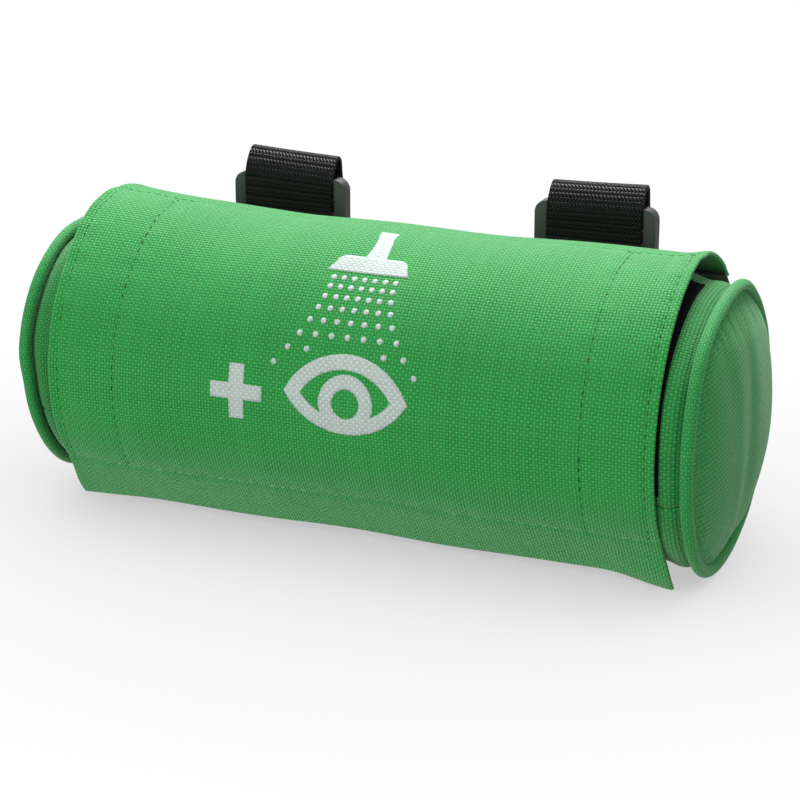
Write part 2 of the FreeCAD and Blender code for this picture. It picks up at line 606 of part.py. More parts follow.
def drill_spray_holes(body):
    """A ring of small holes through the spray plate, repeated about its axis."""
    before = body.Shape.Volume
    sketch = body.newObject("Sketcher::SketchObject", "spray_hole")
    plane = next(item for item in body.Origin.OriginFeatures if item.Role == "YZ_Plane")
    sketch.AttachmentSupport = (plane, [""])
    sketch.MapMode = "FlatFace"
    sketch.addGeometry(Part.Circle(Vector(VALUES["spray_circle"], 0, 0), Z_AXIS, VALUES["spray_radius"]))
    sketch.addConstraint(Sketcher.Constraint("PointOnObject", 0, 3, -1))
    sketch.addConstraint(Sketcher.Constraint("DistanceX", -1, 1, 0, 3, VALUES["spray_circle"]))
    sketch.addConstraint(Sketcher.Constraint("Radius", 0, VALUES["spray_radius"]))
    sketch.setExpression("Constraints[1]", "dim.spray_circle")
    sketch.setExpression("Constraints[2]", "dim.spray_radius")
    hole = body.newObject("PartDesign::Pocket", "spray_hole_cut")
    hole.Profile = sketch
    hole.Midplane = True
    hole.setExpression("Length", "2 * dim.cap_high")
    doc.recompute()
    ring = body.newObject("PartDesign::PolarPattern", "spray_ring")
    ring.Originals = [hole]
    ring.Axis = (sketch, ["N_Axis"])
    ring.Angle = 360
    ring.setExpression("Occurrences", "dim.spray_count")
    body.Tip = ring
    doc.recompute()
    holes = (before - body.Shape.Volume) / (math.pi * VALUES["spray_radius"] ** 2 * VALUES["plate_thick"])
    assert round(holes) == VALUES["spray_count"], f"{holes} spray holes"


def check_and_write():
    """Stops on any failed object or bad shape, then writes one STEP file for each sub-part."""
    doc.recompute()
    for obj in doc.Objects:
        assert not {"Invalid", "Error"} & set(obj.State), f"{obj.Name}: {obj.State}"
    os.makedirs("parts", exist_ok=True)
    for obj in subparts:
        shape = obj.Shape
        assert not shape.isNull() and shape.isValid() and len(shape.Solids) == 1, obj.Label
        shape.exportStep(f"parts/{obj.Label}.step")
        print(f"{obj.Label:22s} {shape.Volume / 1000:9.2f} cm3")


write_sheet()
make_bag()
make_flap()
for side, sign in (("left", -1), ("right", 1)):
    make_strap(side, sign)
    make_socket_tab(side, sign)
    make_socket(side, sign)
    make_latch(side, sign)
make_bottle()
make_eye_cup()
check_and_write()
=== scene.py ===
"""Looks of the eyewash belt bag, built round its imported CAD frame.

The shaping functions work in millimetres about the bag's own axis: x along the bag, y to the back
and z up.  Angles go round that axis, measured up from straight ahead, and s is the length of cloth
from straight ahead.  build() takes the points to the row's frame, in metres.
"""

import math

import bmesh
import bpy
import numpy as np
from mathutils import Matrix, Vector, geometry, noise


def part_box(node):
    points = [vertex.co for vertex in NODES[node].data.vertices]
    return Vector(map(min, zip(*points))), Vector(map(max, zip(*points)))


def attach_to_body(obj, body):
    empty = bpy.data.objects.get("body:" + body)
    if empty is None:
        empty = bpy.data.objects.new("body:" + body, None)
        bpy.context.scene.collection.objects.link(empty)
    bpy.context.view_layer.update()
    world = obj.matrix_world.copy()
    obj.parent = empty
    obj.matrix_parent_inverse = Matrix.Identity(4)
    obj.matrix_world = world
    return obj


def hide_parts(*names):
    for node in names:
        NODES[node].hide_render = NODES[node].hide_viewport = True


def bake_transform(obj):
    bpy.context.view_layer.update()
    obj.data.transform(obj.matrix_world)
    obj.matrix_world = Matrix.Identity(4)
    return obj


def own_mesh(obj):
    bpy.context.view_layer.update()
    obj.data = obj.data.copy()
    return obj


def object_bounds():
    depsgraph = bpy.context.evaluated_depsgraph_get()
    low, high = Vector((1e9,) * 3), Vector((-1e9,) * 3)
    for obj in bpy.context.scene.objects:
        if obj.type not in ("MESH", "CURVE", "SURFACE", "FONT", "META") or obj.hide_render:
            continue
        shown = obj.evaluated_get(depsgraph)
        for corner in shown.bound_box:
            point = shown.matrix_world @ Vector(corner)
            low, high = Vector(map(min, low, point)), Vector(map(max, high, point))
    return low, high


MM = 0.001
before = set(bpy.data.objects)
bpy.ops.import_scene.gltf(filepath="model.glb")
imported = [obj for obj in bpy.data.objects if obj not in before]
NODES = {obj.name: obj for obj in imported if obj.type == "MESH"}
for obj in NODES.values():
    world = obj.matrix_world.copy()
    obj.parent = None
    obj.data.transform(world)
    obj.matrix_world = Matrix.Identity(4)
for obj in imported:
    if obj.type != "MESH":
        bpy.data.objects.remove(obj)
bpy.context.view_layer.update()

ring_low, ring_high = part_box("right_piping")
AXIS = np.array([0.0, (ring_low.y + ring_high.y) / 2, (ring_low.z + ring_high.z) / 2])


def span(node):
    """A node's lowest and highest corners, in millimetres about the bag's axis."""
    low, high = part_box(node)
    return (np.array(low) - AXIS) / MM, (np.array(high) - AXIS) / MM


# ---- sizes read from the frame

PIPING_LOW, PIPING_HIGH = span("right_piping")
CORD = (PIPING_HIGH[0] - PIPING_LOW[0]) / 2
PIPING_X = (PIPING_HIGH[0] + PIPING_LOW[0]) / 2
PIPING_RING = PIPING_HIGH[2] - CORD
WALL_HALF = span("bag_panel")[1][0]
WALL_OUTER = -span("bag_panel")[0][2]
MOUTH_HALF = span("right_end_band")[0][0]
PANEL_CROWN = span("right_end_panel")[1][0]
FLAP_LOW, FLAP_HIGH = span("flap_panel")
FLAP_OUTER = FLAP_HIGH[2]

# ---- the bag's own angles and cloth

WALL_THICK = 2.4
SEAM_FRONT, SEAM_BACK = math.radians(-20), math.radians(110)
FLAP_THICK = 1.2
FLAP_MID = FLAP_OUTER - FLAP_THICK / 2
FLAP_FRONT = math.radians(-40)
FLAP_BACK = math.radians(131)
FLAP_TAIL = (-FLAP_LOW[2] + FLAP_OUTER * math.sin(FLAP_FRONT)) / math.cos(FLAP_FRONT)
FLAP_S_FRONT = FLAP_MID * FLAP_FRONT
FLAP_S_BACK = FLAP_MID * FLAP_BACK
HEM_S = FLAP_MID * math.radians(-38)
TOP_ROW_S = FLAP_MID * math.radians(93)
STITCH_INSETS = np.array([3.2, 22.8])
LEFT_OUTER_ROW, LEFT_INNER_ROW = FLAP_LOW[0] + STITCH_INSETS
RIGHT_OUTER_ROW, RIGHT_INNER_ROW = FLAP_HIGH[0] - STITCH_INSETS
SIDE_ROWS = (LEFT_OUTER_ROW, LEFT_INNER_ROW, RIGHT_OUTER_ROW, RIGHT_INNER_ROW)

# angles on the round, in degrees: first and last for a piece or fold, and one for each row of sewing
HINGE_FOLD = (128, 118)
HOOK_SPAN = (-37, 91)
LOOP_SPAN = (-15, 89)
LINING_SPAN = (-38, 117)
SEAM_TAPE_SPAN = (125.2, 136.8)
SEAM_TAPE_ROW = 134.5
ANCHOR_SPAN = (205, 228)
TAB_ROWS = (190, 193.5, 198.5)


# ---- small helpers on arrays

def smooth(value):
    value = np.clip(value, 0, 1)
    return value * value * (3 - 2 * value)


def bell(value, width):
    return np.exp(-(value / width) ** 2)


def about_axis(x, angle, radius):
    x, angle, radius = np.broadcast_arrays(x, angle, radius)
    return np.stack([x, -radius * np.cos(angle), radius * np.sin(angle)], axis=-1).astype(float)


def marks(low, high, step, edge=0.6):
    """Grid lines from low to high, packed closer at both ends so that an edge can be rounded."""
    close = edge * np.array([0.0, 0.12, 0.35, 0.65, 1.0])
    count = max(2, int(round((high - low - 2 * edge) / step)))
    middle = np.linspace(low + edge, high - edge, count + 1)[1:-1]
    return np.concatenate([low + close, middle, high - close[::-1]])


def settle(points):
    """The soft ends of the bag: the left one is drawn in and pressed in, though less by the mouth, where
    the bottle's base passes; the right one sags at its top, its back and its lower front."""
    x, y, z = points[..., 0], points[..., 1], points[..., 2]
    left, right, top, under = smooth((-x - 80) / 28), smooth((x - 84) / 24), smooth(z / 46), smooth(-z / 32)
    narrowed, left_sink, right_sink = 0.085, 0.05, 0.135
    drawn = 1 - narrowed * left
    sunk = (1 - left_sink * left * top) * (1 - right_sink * right * top)
    back_drop, front_drop, toe_drop = 4.7, 0.8, 1.6
    drop = back_drop * smooth((y - 8) / 36)
    drop = drop + under * (front_drop * smooth((4 - y) / 20) + toe_drop * bell(y + 25, 14))
    full_press, spared_by_mouth = 3.4, 1.2
    ahead, above, reach = 0.755, 0.656, 31.5
    mouth = smooth((above * z - ahead * y - reach) / 9)
    pressed = (full_press - spared_by_mouth * mouth) * smooth((-x - 98) / 12)
    return np.stack([x + pressed, y * drawn, z * drawn * sunk - drop * right], axis=-1)


def unit(vectors):
    return vectors / np.maximum(np.linalg.norm(vectors, axis=-1, keepdims=True), 1e-9)


def lattice(xs, across):
    """Both coordinates at each crossing of two sets of grid lines."""
    return xs[:, None] + 0 * across, across + 0 * xs[:, None]


# ---- meshes

def attach(piece, slot, body, *nodes):
    """Gives a piece its body and hides the CAD parts that it stands for, given as nodes; slot is not used."""
    if nodes:
        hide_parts(*nodes)
    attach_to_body(piece, body)


def build(name, points, faces, material, uv=None, turn_uv=None):
    """A mesh object from points in millimetres about the bag's axis.

    uv is the cloth's two coordinates at each point; turn_uv is how far they go in one turn of a piece
    that closes on itself, so that the faces which close it don't run back through the whole cloth.
    """
    mesh = bpy.data.meshes.new(name)
    placed = np.asarray(points, float).reshape(-1, 3) * MM + AXIS
    mesh.from_pydata(placed.tolist(), [], faces if isinstance(faces, list) else faces.tolist())
    if uv is not None:
        layer = mesh.uv_layers.new(name="cloth")
        corner = np.zeros(len(mesh.loops), int)
        mesh.loops.foreach_get("vertex_index", corner)
        values = np.asarray(uv, float).reshape(-1, 2)[corner]
        if turn_uv is not None:
            first = values[np.repeat([face.loop_start for face in mesh.polygons],
                                     [face.loop_total for face in mesh.polygons])]
            values += np.round((first - values) / turn_uv) * turn_uv
        layer.data.foreach_set("uv", values.astype(np.float32).ravel())
    mesh.polygons.foreach_set("use_smooth", [True] * len(mesh.polygons))
    if material:
        mesh.materials.append(MATERIALS[material])
    mesh.update()
    return link(bpy.data.objects.new(name, mesh))


def link(item):
    bpy.context.scene.collection.objects.link(item)
    return item


def grid_faces(index):
    """Quads over a grid of vertex numbers."""
    return np.stack([index[:-1, :-1], index[1:, :-1], index[1:, 1:], index[:-1, 1:]], axis=-1).reshape(-1, 4)


def tube_faces(index):
    """Quads round a grid of vertex numbers whose rows are rings, and a face over each end."""
    closed = np.concatenate([index, index[:, :1]], axis=1)
    return grid_faces(closed).tolist() + [index[0].tolist(), index[-1, ::-1].tolist()]


def edge_distance(points, axis):
    steps = np.linalg.norm(np.diff(points, axis=axis), axis=-1)
    length = np.concatenate([np.zeros_like(np.take(steps, [0], axis)), np.cumsum(steps, axis)], axis)
    total = np.take(length, [-1], axis)
    return np.minimum(length, total - length)


def sheet(name, middle, thickness, uv, material, edge=0.6):
    """Cloth about a grid of points: two faces, with edges rounded over the given width.

    uv is the cloth's two coordinates over the grid, in millimetres.
    """
    uv = np.stack(np.broadcast_arrays(*uv), -1) * MM
    normal = unit(np.cross(np.gradient(middle, axis=0), np.gradient(middle, axis=1)))
    distance = np.minimum(edge_distance(middle, 0), edge_distance(middle, 1))
    swell = np.sqrt(1 - (1 - np.clip(distance / edge, 0, 1)) ** 2)
    half = (np.asarray(thickness, float) / 2 * swell)[..., None]
    rows, columns = middle.shape[:2]
    outer = np.arange(rows * columns).reshape(rows, columns)
    inner = outer.copy()
    inside = (rows - 2) * (columns - 2)
    inner[1:-1, 1:-1] = rows * columns + np.arange(inside).reshape(rows - 2, columns - 2)
    points = np.concatenate([(middle + normal * half).reshape(-1, 3),
                             (middle - normal * half)[1:-1, 1:-1].reshape(-1, 3)])
    coordinates = np.concatenate([uv.reshape(-1, 2), uv[1:-1, 1:-1].reshape(-1, 2)])
    faces = np.concatenate([grid_faces(outer), grid_faces(inner)[:, ::-1]])
    return build(name, points, faces, material, coordinates)


def stitches(name, tracks, material, pitch=3.3, share=0.72, radius=0.27, lift=0.1):
    """Thread along each track of (points, normals): one bead for each stitch, its ends in the cloth."""
    rings, around = 7, 6
    points, faces, first = [], [], 0
    for track, normals in tracks:
        length = np.r_[0, np.cumsum(np.linalg.norm(np.diff(track, axis=0), axis=1))]
        for middle in np.arange(pitch / 2, length[-1], pitch):
            along = np.linspace(-0.5, 0.5, rings)
            uneven = noise.noise(Vector((middle * 0.9, len(track) * 0.37, 5.1)))
            at = np.clip(middle + along * pitch * share * (1 + 0.5 * uneven), 0, length[-1])
            centre = np.stack([np.interp(at, length, track[:, k]) for k in range(3)], -1)
            up = unit(np.stack([np.interp(at, length, normals[:, k]) for k in range(3)], -1))
            ahead = unit(np.gradient(centre, axis=0))
            side = np.cross(ahead, up)
            shift, slant = 0.35 * uneven, 0.2 * uneven * 2
            centre = centre + side * (shift + slant * along[:, None])
            arch = np.sqrt(np.maximum(1 - (2 * along) ** 2, 0.02))
            centre = centre + up * ((lift + radius) * arch - radius)[:, None]
            turn = np.linspace(0, math.tau, around, endpoint=False)
            ring = (side[:, None] * np.cos(turn)[:, None] + up[:, None] * np.sin(turn)[:, None])
            points.append((centre[:, None] + ring * (radius * arch)[:, None, None]).reshape(-1, 3))
            faces += tube_faces(first + np.arange(rings * around).reshape(rings, around))
            first += rings * around
    return build(name, np.concatenate(points), faces, material)


def surface_track(surface, x, s, lift=0.0):
    """Points and normals along a line drawn on surface(x, s)."""
    x, s = np.broadcast_arrays(np.asarray(x, float), np.asarray(s, float))
    small = 0.4
    normal = unit(np.cross(surface(x + small, s) - surface(x - small, s),
                           surface(x, s + small) - surface(x, s - small)))
    return surface(x, s) + normal * lift, normal


def drape(middle, held, push, spare=0.03, frames=20):
    """Lets a grid of cloth settle under a steady push while its held points stay; returns the grid.

    spare is the share by which the cloth is cut larger than the place it fills, which gives the folds.
    """
    rows, columns = middle.shape[:2]
    piece = build("draped_cloth", middle, grid_faces(np.arange(rows * columns).reshape(rows, columns)), None)
    pins = piece.vertex_groups.new(name="held")
    pins.add(np.flatnonzero(held.ravel()).tolist(), 1.0, "REPLACE")
    settings = piece.modifiers.new("cloth", "CLOTH").settings
    settings.vertex_group_mass = "held"
    settings.quality, settings.mass = 8, 0.3
    settings.tension_stiffness = settings.compression_stiffness = 40
    settings.shear_stiffness, settings.bending_stiffness = 12, 0.6
    settings.shrink_min = settings.shrink_max = -spare
    scene = bpy.context.scene
    usual = scene.gravity.copy()
    scene.gravity = push
    for number in range(1, frames + 1):
        scene.frame_set(number)
    solved = piece.evaluated_get(bpy.context.evaluated_depsgraph_get()).data
    points = np.zeros(rows * columns * 3)
    solved.vertices.foreach_get("co", points)
    scene.gravity = usual
    scene.frame_set(1)
    bpy.data.objects.remove(piece)
    return (points.reshape(rows, columns, 3) - AXIS) / MM


# ---- materials

class Tree:
    """Short-hand for a material's nodes."""

    def __init__(self, name):
        self.material = bpy.data.materials.new(name)
        self.material.use_nodes = True
        self.nodes = self.material.node_tree.nodes
        self.links = self.material.node_tree.links
        self.shader = self.nodes["Principled BSDF"]

    def node(self, kind, inputs, output=0, **settings):
        made = self.nodes.new(kind)
        for key, value in settings.items():
            setattr(made, key, value)
        for key, value in inputs.items():
            self.set(made.inputs[key], value)
        return made.outputs[output]

    def set(self, socket, value):
        if isinstance(value, bpy.types.NodeSocket):
            self.links.new(value, socket)
        else:
            socket.default_value = value

    def calc(self, operation, *values):
        return self.node("ShaderNodeMath", dict(enumerate(values)), operation=operation)

    def plus(self, first, second):
        return self.calc("ADD", first, second)

    def minus(self, first, second):
        return self.calc("SUBTRACT", first, second)

    def times(self, first, second):
        return self.calc("MULTIPLY", first, second)

    def scaled(self, value, gain, offset):
        return self.calc("MULTIPLY_ADD", value, gain, offset)

    def mix(self, share, first, second):
        return self.node("ShaderNodeMix", {0: share, 6: first, 7: second}, output=2, data_type="RGBA")

    def noise(self, scale, detail=2.0, vector=None):
        inputs = {"Scale": scale, "Detail": detail}
        if vector is not None:
            inputs["Vector"] = vector
        return self.node("ShaderNodeTexNoise", inputs)

    def place(self):
        """Where the point is on the piece, in metres."""
        return self.node("ShaderNodeTexCoord", {}, output=3)

    def cloth(self):
        """The cloth's own two coordinates, in metres."""
        both = self.node("ShaderNodeUVMap", {}, uv_map="cloth")
        return (self.node("ShaderNodeSeparateXYZ", {0: both}, output=0),
                self.node("ShaderNodeSeparateXYZ", {0: both}, output=1))

    def finish(self, **inputs):
        for key, value in inputs.items():
            self.set(self.shader.inputs[key.replace("_", " ")], value)
        return self.material

    def bump(self, height, distance, strength=1.0):
        return self.node("ShaderNodeBump", {"Height": height, "Distance": distance, "Strength": strength})


def colour(red, green, blue):
    """A colour given as screen values from 0 to 255."""
    def linear(value):
        value = value / 255
        return value / 12.92 if value <= 0.04045 else ((value + 0.055) / 1.055) ** 2.4
    return (linear(red), linear(green), linear(blue), 1.0)


def dimmed(base, share):
    return tuple(share * value for value in base[:3]) + (1.0,)


def paler(base, gain, lift):
    return tuple(min(1.0, gain * value + lift) for value in base[:3]) + (1.0,)


def hump(tree, share):
    """1 in the middle of a thread and 0 at its sides."""
    centred = tree.scaled(share, 2.0, -1.0)
    return tree.minus(1.0, tree.times(centred, centred))


def plain_weave(tree, pitch):
    """Height of a plain weave, and a value that differs from thread to thread."""
    x, y = tree.cloth()
    sway = tree.noise(170.0, 1.0, tree.place())
    sway = tree.scaled(sway, 0.5, -0.25)
    across = tree.scaled(x, 1 / pitch, sway)
    along = tree.scaled(y, 1 / pitch, sway)
    share_across, share_along = tree.calc("FRACT", across), tree.calc("FRACT", along)
    number_across, number_along = tree.calc("FLOOR", across), tree.calc("FLOOR", along)
    over = tree.calc("PINGPONG", tree.plus(number_across, number_along), 1.0)

    def thread(width_share, length_share):
        rise = tree.calc("SINE", tree.times(length_share, math.pi))
        return tree.times(hump(tree, width_share), tree.scaled(rise, 0.85, 0.15))

    warp, weft = thread(share_across, share_along), thread(share_along, share_across)
    height = tree.node("ShaderNodeMix", {0: over, 2: warp, 3: weft}, output=0)
    number = tree.node("ShaderNodeMix", {0: over, 2: number_across, 3: number_along}, output=0)
    tint = tree.node("ShaderNodeTexWhiteNoise", {1: number}, noise_dimensions="1D")
    return height, tint, over


def woven(name, base, pitch=1.0, relief=0.24, rough=0.62, sheen=0.45, gap_shade=0.62, ribs=None):
    """Coarse coated cloth: weave with painted shade in the gaps between threads and painted highlights on the
    threads that lie over, thread-to-thread tint, faint soiling and a soft sheen.

    ribs is the pitch and the slope of the raised lines that the weave makes when it is seen aslant; painted
    shade darkens the valleys between them.
    """
    tree = Tree(name)
    height, tint, over = plain_weave(tree, pitch * MM)
    if ribs:
        x, y = tree.cloth()
        across = tree.minus(tree.times(y, math.cos(ribs[1])),
                           tree.times(x, math.sin(ribs[1])))
        line = hump(tree, tree.calc("FRACT", tree.times(across, 1 / (ribs[0] * MM))))
        height = tree.plus(tree.times(height, 0.35), tree.times(line, 0.65))
    # painted shade: the colour darkens towards the gaps between threads and between ribs
    dark = dimmed(base, 1 - gap_shade)
    light = paler(base, 1.45, 0.004)
    shade = tree.mix(tree.calc("POWER", height, 0.8), dark, base)
    shade = tree.mix(tree.times(tint, 0.25), shade, light)
    # painted highlight: the raised threads that lie over are lightened
    shade = tree.mix(tree.times(over, tree.times(height, 0.8)), shade, light)
    patches = tree.noise(28.0, 3.0, tree.place())
    shade = tree.mix(tree.times(patches, 0.22), shade, dark)
    fuzz = tree.noise(4200.0, 1.0, tree.place())
    relief_height = tree.scaled(fuzz, 0.12, height)
    roughness = tree.scaled(height, -0.12, rough + 0.06)
    return tree.finish(Base_Color=shade, Roughness=roughness, Normal=tree.bump(relief_height, relief * MM),
                       Specular_IOR_Level=0.3, Sheen_Weight=sheen, Sheen_Roughness=0.35,
                       Sheen_Tint=(0.8, 1.0, 0.8, 1.0))


def ribbed_webbing(name, base, shine):
    """Heavy webbing: rows of slanted threads whose lean changes from row to row."""
    tree = Tree(name)
    x, y = tree.cloth()
    row_pitch, thread_pitch = 1.55 * MM, 1.25 * MM
    rows = tree.times(y, 1 / row_pitch)
    share = tree.calc("FRACT", rows)
    flip = tree.scaled(tree.calc("PINGPONG", tree.calc("FLOOR", rows), 1.0), 2.0, -1.0)
    lean = tree.times(tree.minus(share, 0.5), flip)
    threads = tree.scaled(x, 1 / thread_pitch, tree.times(lean, 0.9))
    strand = hump(tree, tree.calc("FRACT", threads))
    height = tree.times(strand, tree.calc("POWER", hump(tree, share), 0.5))
    fibre = tree.noise(5200.0, 1.0, tree.place())
    height = tree.scaled(fibre, 0.1, height)
    # painted shade: darker in the grooves between threads and rows
    shade = tree.mix(height, dimmed(base, 0.35), base)
    return tree.finish(Base_Color=shade, Roughness=tree.scaled(height, -0.2, shine + 0.15),
                       Specular_IOR_Level=0.24, Normal=tree.bump(height, 0.42 * MM))


def pile(name, base, size, relief):
    """The looped or hooked face of fastening tape."""
    tree = Tree(name)
    tuft = tree.node("ShaderNodeTexVoronoi", {"Vector": tree.place(), "Scale": 1 / (size * MM)})
    height = tree.minus(1.0, tuft)
    # painted shade: darker between the tufts
    shade = tree.mix(height, dimmed(base, 0.3), base)
    return tree.finish(Base_Color=shade, Roughness=0.95, Normal=tree.bump(height, relief * MM),
                       Specular_IOR_Level=0.15)


def ribbed_tape(name, base, pitch=0.55):
    """Binding tape with fine ribs across it."""
    tree = Tree(name)
    x, _ = tree.cloth()
    rib = hump(tree, tree.calc("FRACT", tree.times(x, 1 / (pitch * MM))))
    fibre = tree.noise(5000.0, 1.0, tree.place())
    height = tree.scaled(fibre, 0.2, rib)
    # painted shade: darker in the grooves between ribs
    shade = tree.mix(rib, dimmed(base, 0.45), base)
    return tree.finish(Base_Color=shade, Roughness=0.7, Normal=tree.bump(height, 0.12 * MM), Sheen_Weight=0.2)


def thread_material(name, base, sunk=None):
    """Sewing thread; sunk is the colour where a stitch has sunk into the cloth, here and there."""
    tree = Tree(name)
    twist = tree.node("ShaderNodeTexWave", {"Vector": tree.place(), "Scale": 1400.0, "Distortion": 1.0})
    # painted shade: darker in the grooves of the twist
    shade = tree.mix(twist, dimmed(base, 0.6), base)
    if sunk:
        patches = tree.node("ShaderNodeMapRange", {0: tree.noise(130.0, 1.0, tree.place()), 1: 0.42, 2: 0.6})
        shade = tree.mix(patches, shade, sunk)
    return tree.finish(Base_Color=shade, Roughness=0.6, Normal=tree.bump(twist, 0.05 * MM),
                       Specular_IOR_Level=0.3)


def moulded(name, base, rough, grain=0.02, scale=2600.0, clear=0.0, coat=0.0):
    """Moulded plastic: fine spark-eroded grain, slightly uneven gloss and paler rubbed edges."""
    tree = Tree(name)
    grains = tree.noise(scale, 3.0, tree.place())
    smudge = tree.noise(60.0, 3.0, tree.place())
    edge = tree.node("ShaderNodeNewGeometry", {}, output=7)
    rubbed = tree.times(tree.minus(edge, 0.5), 3.0)
    rubbed = tree.node("ShaderNodeClamp", {0: rubbed, 2: 0.35})
    pale = paler(base, 1.5, 0.02)
    shade = tree.mix(rubbed, base, pale)
    roughness = tree.scaled(smudge, 0.18, rough - 0.09)
    return tree.finish(Base_Color=shade, Roughness=roughness, Normal=tree.bump(grains, grain * MM),
                       Transmission_Weight=clear, Coat_Weight=coat, IOR=1.49)


GREEN = colour(46, 170, 76)
MATERIALS = {
    "flap": woven("flap_cloth_green", GREEN),
    "wall": woven("wall_cloth_green", colour(44, 156, 72)),
    "panel": woven("end_cloth_green", colour(54, 154, 78), pitch=0.95, ribs=(1.4, math.radians(13))),
    "piping": woven("piping_cloth_green", colour(46, 160, 76), relief=0.14),
    "lining": woven("lining_cloth_green", colour(40, 132, 66), pitch=0.45, relief=0.08, rough=0.5),
    "print": woven("sign_print_white", colour(184, 197, 191), relief=0.1, rough=0.5, sheen=0.05, gap_shade=0.12),
    "webbing": ribbed_webbing("webbing_black", colour(8, 8, 9), 0.36),
    "tape": ribbed_tape("tape_black", colour(30, 30, 31)),
    "loop": pile("loop_pile_black", colour(9, 9, 10), 0.55, 0.35),
    "hook": pile("hook_pile_black", colour(24, 24, 25), 0.9, 0.5),
    "green_thread": thread_material("green_thread", colour(120, 206, 132), colour(60, 160, 84)),
    "dark_thread": thread_material("dark_green_thread", colour(20, 80, 38), colour(44, 138, 66)),
    "black_thread": thread_material("black_thread", colour(24, 24, 25)),
    "buckle": moulded("buckle_black", colour(58, 58, 60), 0.5),
    "bottle": moulded("bottle_milky", colour(226, 236, 234), 0.32, grain=0.01, clear=0.75),
    "saline": moulded("saline_clear", colour(236, 246, 248), 0.06, grain=0.0, clear=1.0),
    "collar": moulded("collar_white", colour(224, 228, 224), 0.35),
    "cup": moulded("cup_green", colour(70, 160, 96), 0.25, grain=0.01, clear=0.35),
    "cap": moulded("cap_green", colour(44, 122, 70), 0.34),
    "seal": moulded("seal_rubber", colour(26, 26, 27), 0.7, grain=0.03),
}


# ---- the flap

def flap_lift(x, s):
    """How far the flap stands out from its round: each line is one feature's height and where it is."""
    angle = np.degrees(s / FLAP_MID)
    crest = smooth((angle - 42) / 48) * smooth((127 - angle) / 20)
    left_corner = 4.4 * np.clip((-x - 30) / 67, 0, 1) ** 1.5 * crest
    right_corner = 1.6 * smooth((x - 92) / 10) * bell(angle - 88, 22)
    free_corner = 2.6 * smooth((x - 78) / 26) * smooth((-33 - s) / 18)
    left_free = 1.2 * smooth((-x - 70) / 30) * smooth((-30 - s) / 18)
    waves = 0.28 * np.sin(x / 17.0 + s / 31.0) + 0.2 * np.sin(x / 9.5 - s / 14.0 + 1.3)
    sag = -0.35 * bell(x - 20, 60) * bell(angle - 60, 30)
    back = -0.35 * smooth((angle - 122) / 6)
    return left_corner + right_corner + free_corner + left_free + waves + sag + back


def stitch_dip(x, s):
    """How far the cloth is drawn in along its sewn rows: a groove, a shallow hollow, then puckers."""
    dip = np.zeros(np.broadcast(x, s).shape)
    in_rows = smooth((s - HEM_S + 3) / 3) * smooth((TOP_ROW_S - s + 3) / 3)
    for column in SIDE_ROWS:
        dip = dip + (0.34 * bell(x - column, 0.75) + 0.16 * bell(x - column, 3.2)) * in_rows
        dip = dip + 0.1 * bell(x - column, 4.0) * np.sin(s / 1.45) * in_rows
    for row in (HEM_S, TOP_ROW_S):
        dip = dip + 0.3 * bell(s - row, 0.75) + 0.14 * bell(s - row, 3.0)
        dip = dip + 0.09 * bell(s - row, 4.0) * np.sin(x / 1.6 + row)
    return dip


def tail_length(x):
    """How far the flap hangs past its round: longest at the right corner and shortest at the left."""
    right_corner, left_corner = 3.0 * smooth((x - 84) / 18), 1.0 * smooth((-x - 50) / 45)
    return FLAP_TAIL + 0.8 + right_corner - left_corner + 0.4 * np.sin(x / 23.0)


def flap_middle(x, s):
    """The flap's middle surface: round the bag, then straight on past the front."""
    x, s = np.broadcast_arrays(np.asarray(x, float), np.asarray(s, float))
    angle = np.maximum(s, FLAP_S_FRONT) / FLAP_MID
    past = np.maximum(FLAP_S_FRONT - s, 0)
    out = np.stack([0 * x, -np.cos(angle), np.sin(angle)], -1)
    down = np.stack([0 * x, -np.sin(angle), -np.cos(angle)], -1)
    lift = flap_lift(x, s) - stitch_dip(x, s)
    right_flare, left_flare = 0.9 * smooth((x - 88) / 14), 1.4 * smooth((-x - 84) / 13)
    flare = (right_flare - left_flare) * smooth(past / 16) - left_flare * bell(np.degrees(angle) - 72, 22)
    base = about_axis(x + flare, angle, FLAP_MID)
    return base + down * past[..., None] + out * lift[..., None]


def make_flap():
    xs = marks(FLAP_LOW[0], FLAP_HIGH[0], 1.0, 0.9)
    shares = marks(0, FLAP_S_BACK - FLAP_S_FRONT + FLAP_TAIL, 1.0, 0.9)
    shares = shares / shares[-1]
    x = xs[:, None] + 0 * shares
    low = FLAP_S_FRONT - tail_length(x)
    s = low + shares * (FLAP_S_BACK - low)
    hem = 0.35 * smooth((HEM_S + 1 - s) / 1.5)
    side = np.minimum(x - FLAP_LOW[0], FLAP_HIGH[0] - x)
    thick = FLAP_THICK - 0.15 + hem + 0.2 * smooth((3.4 - side) / 1.0)
    flap = sheet("flap_cloth", flap_middle(x, s), thick, (x, s), "flap", 0.75)
    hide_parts("flap_panel")
    hinge_start, hinge_end = (about_axis(0, math.radians(fold), FLAP_MID) * MM + AXIS for fold in HINGE_FOLD)
    hinge_end[2] = hinge_start[2]
    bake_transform(flap)


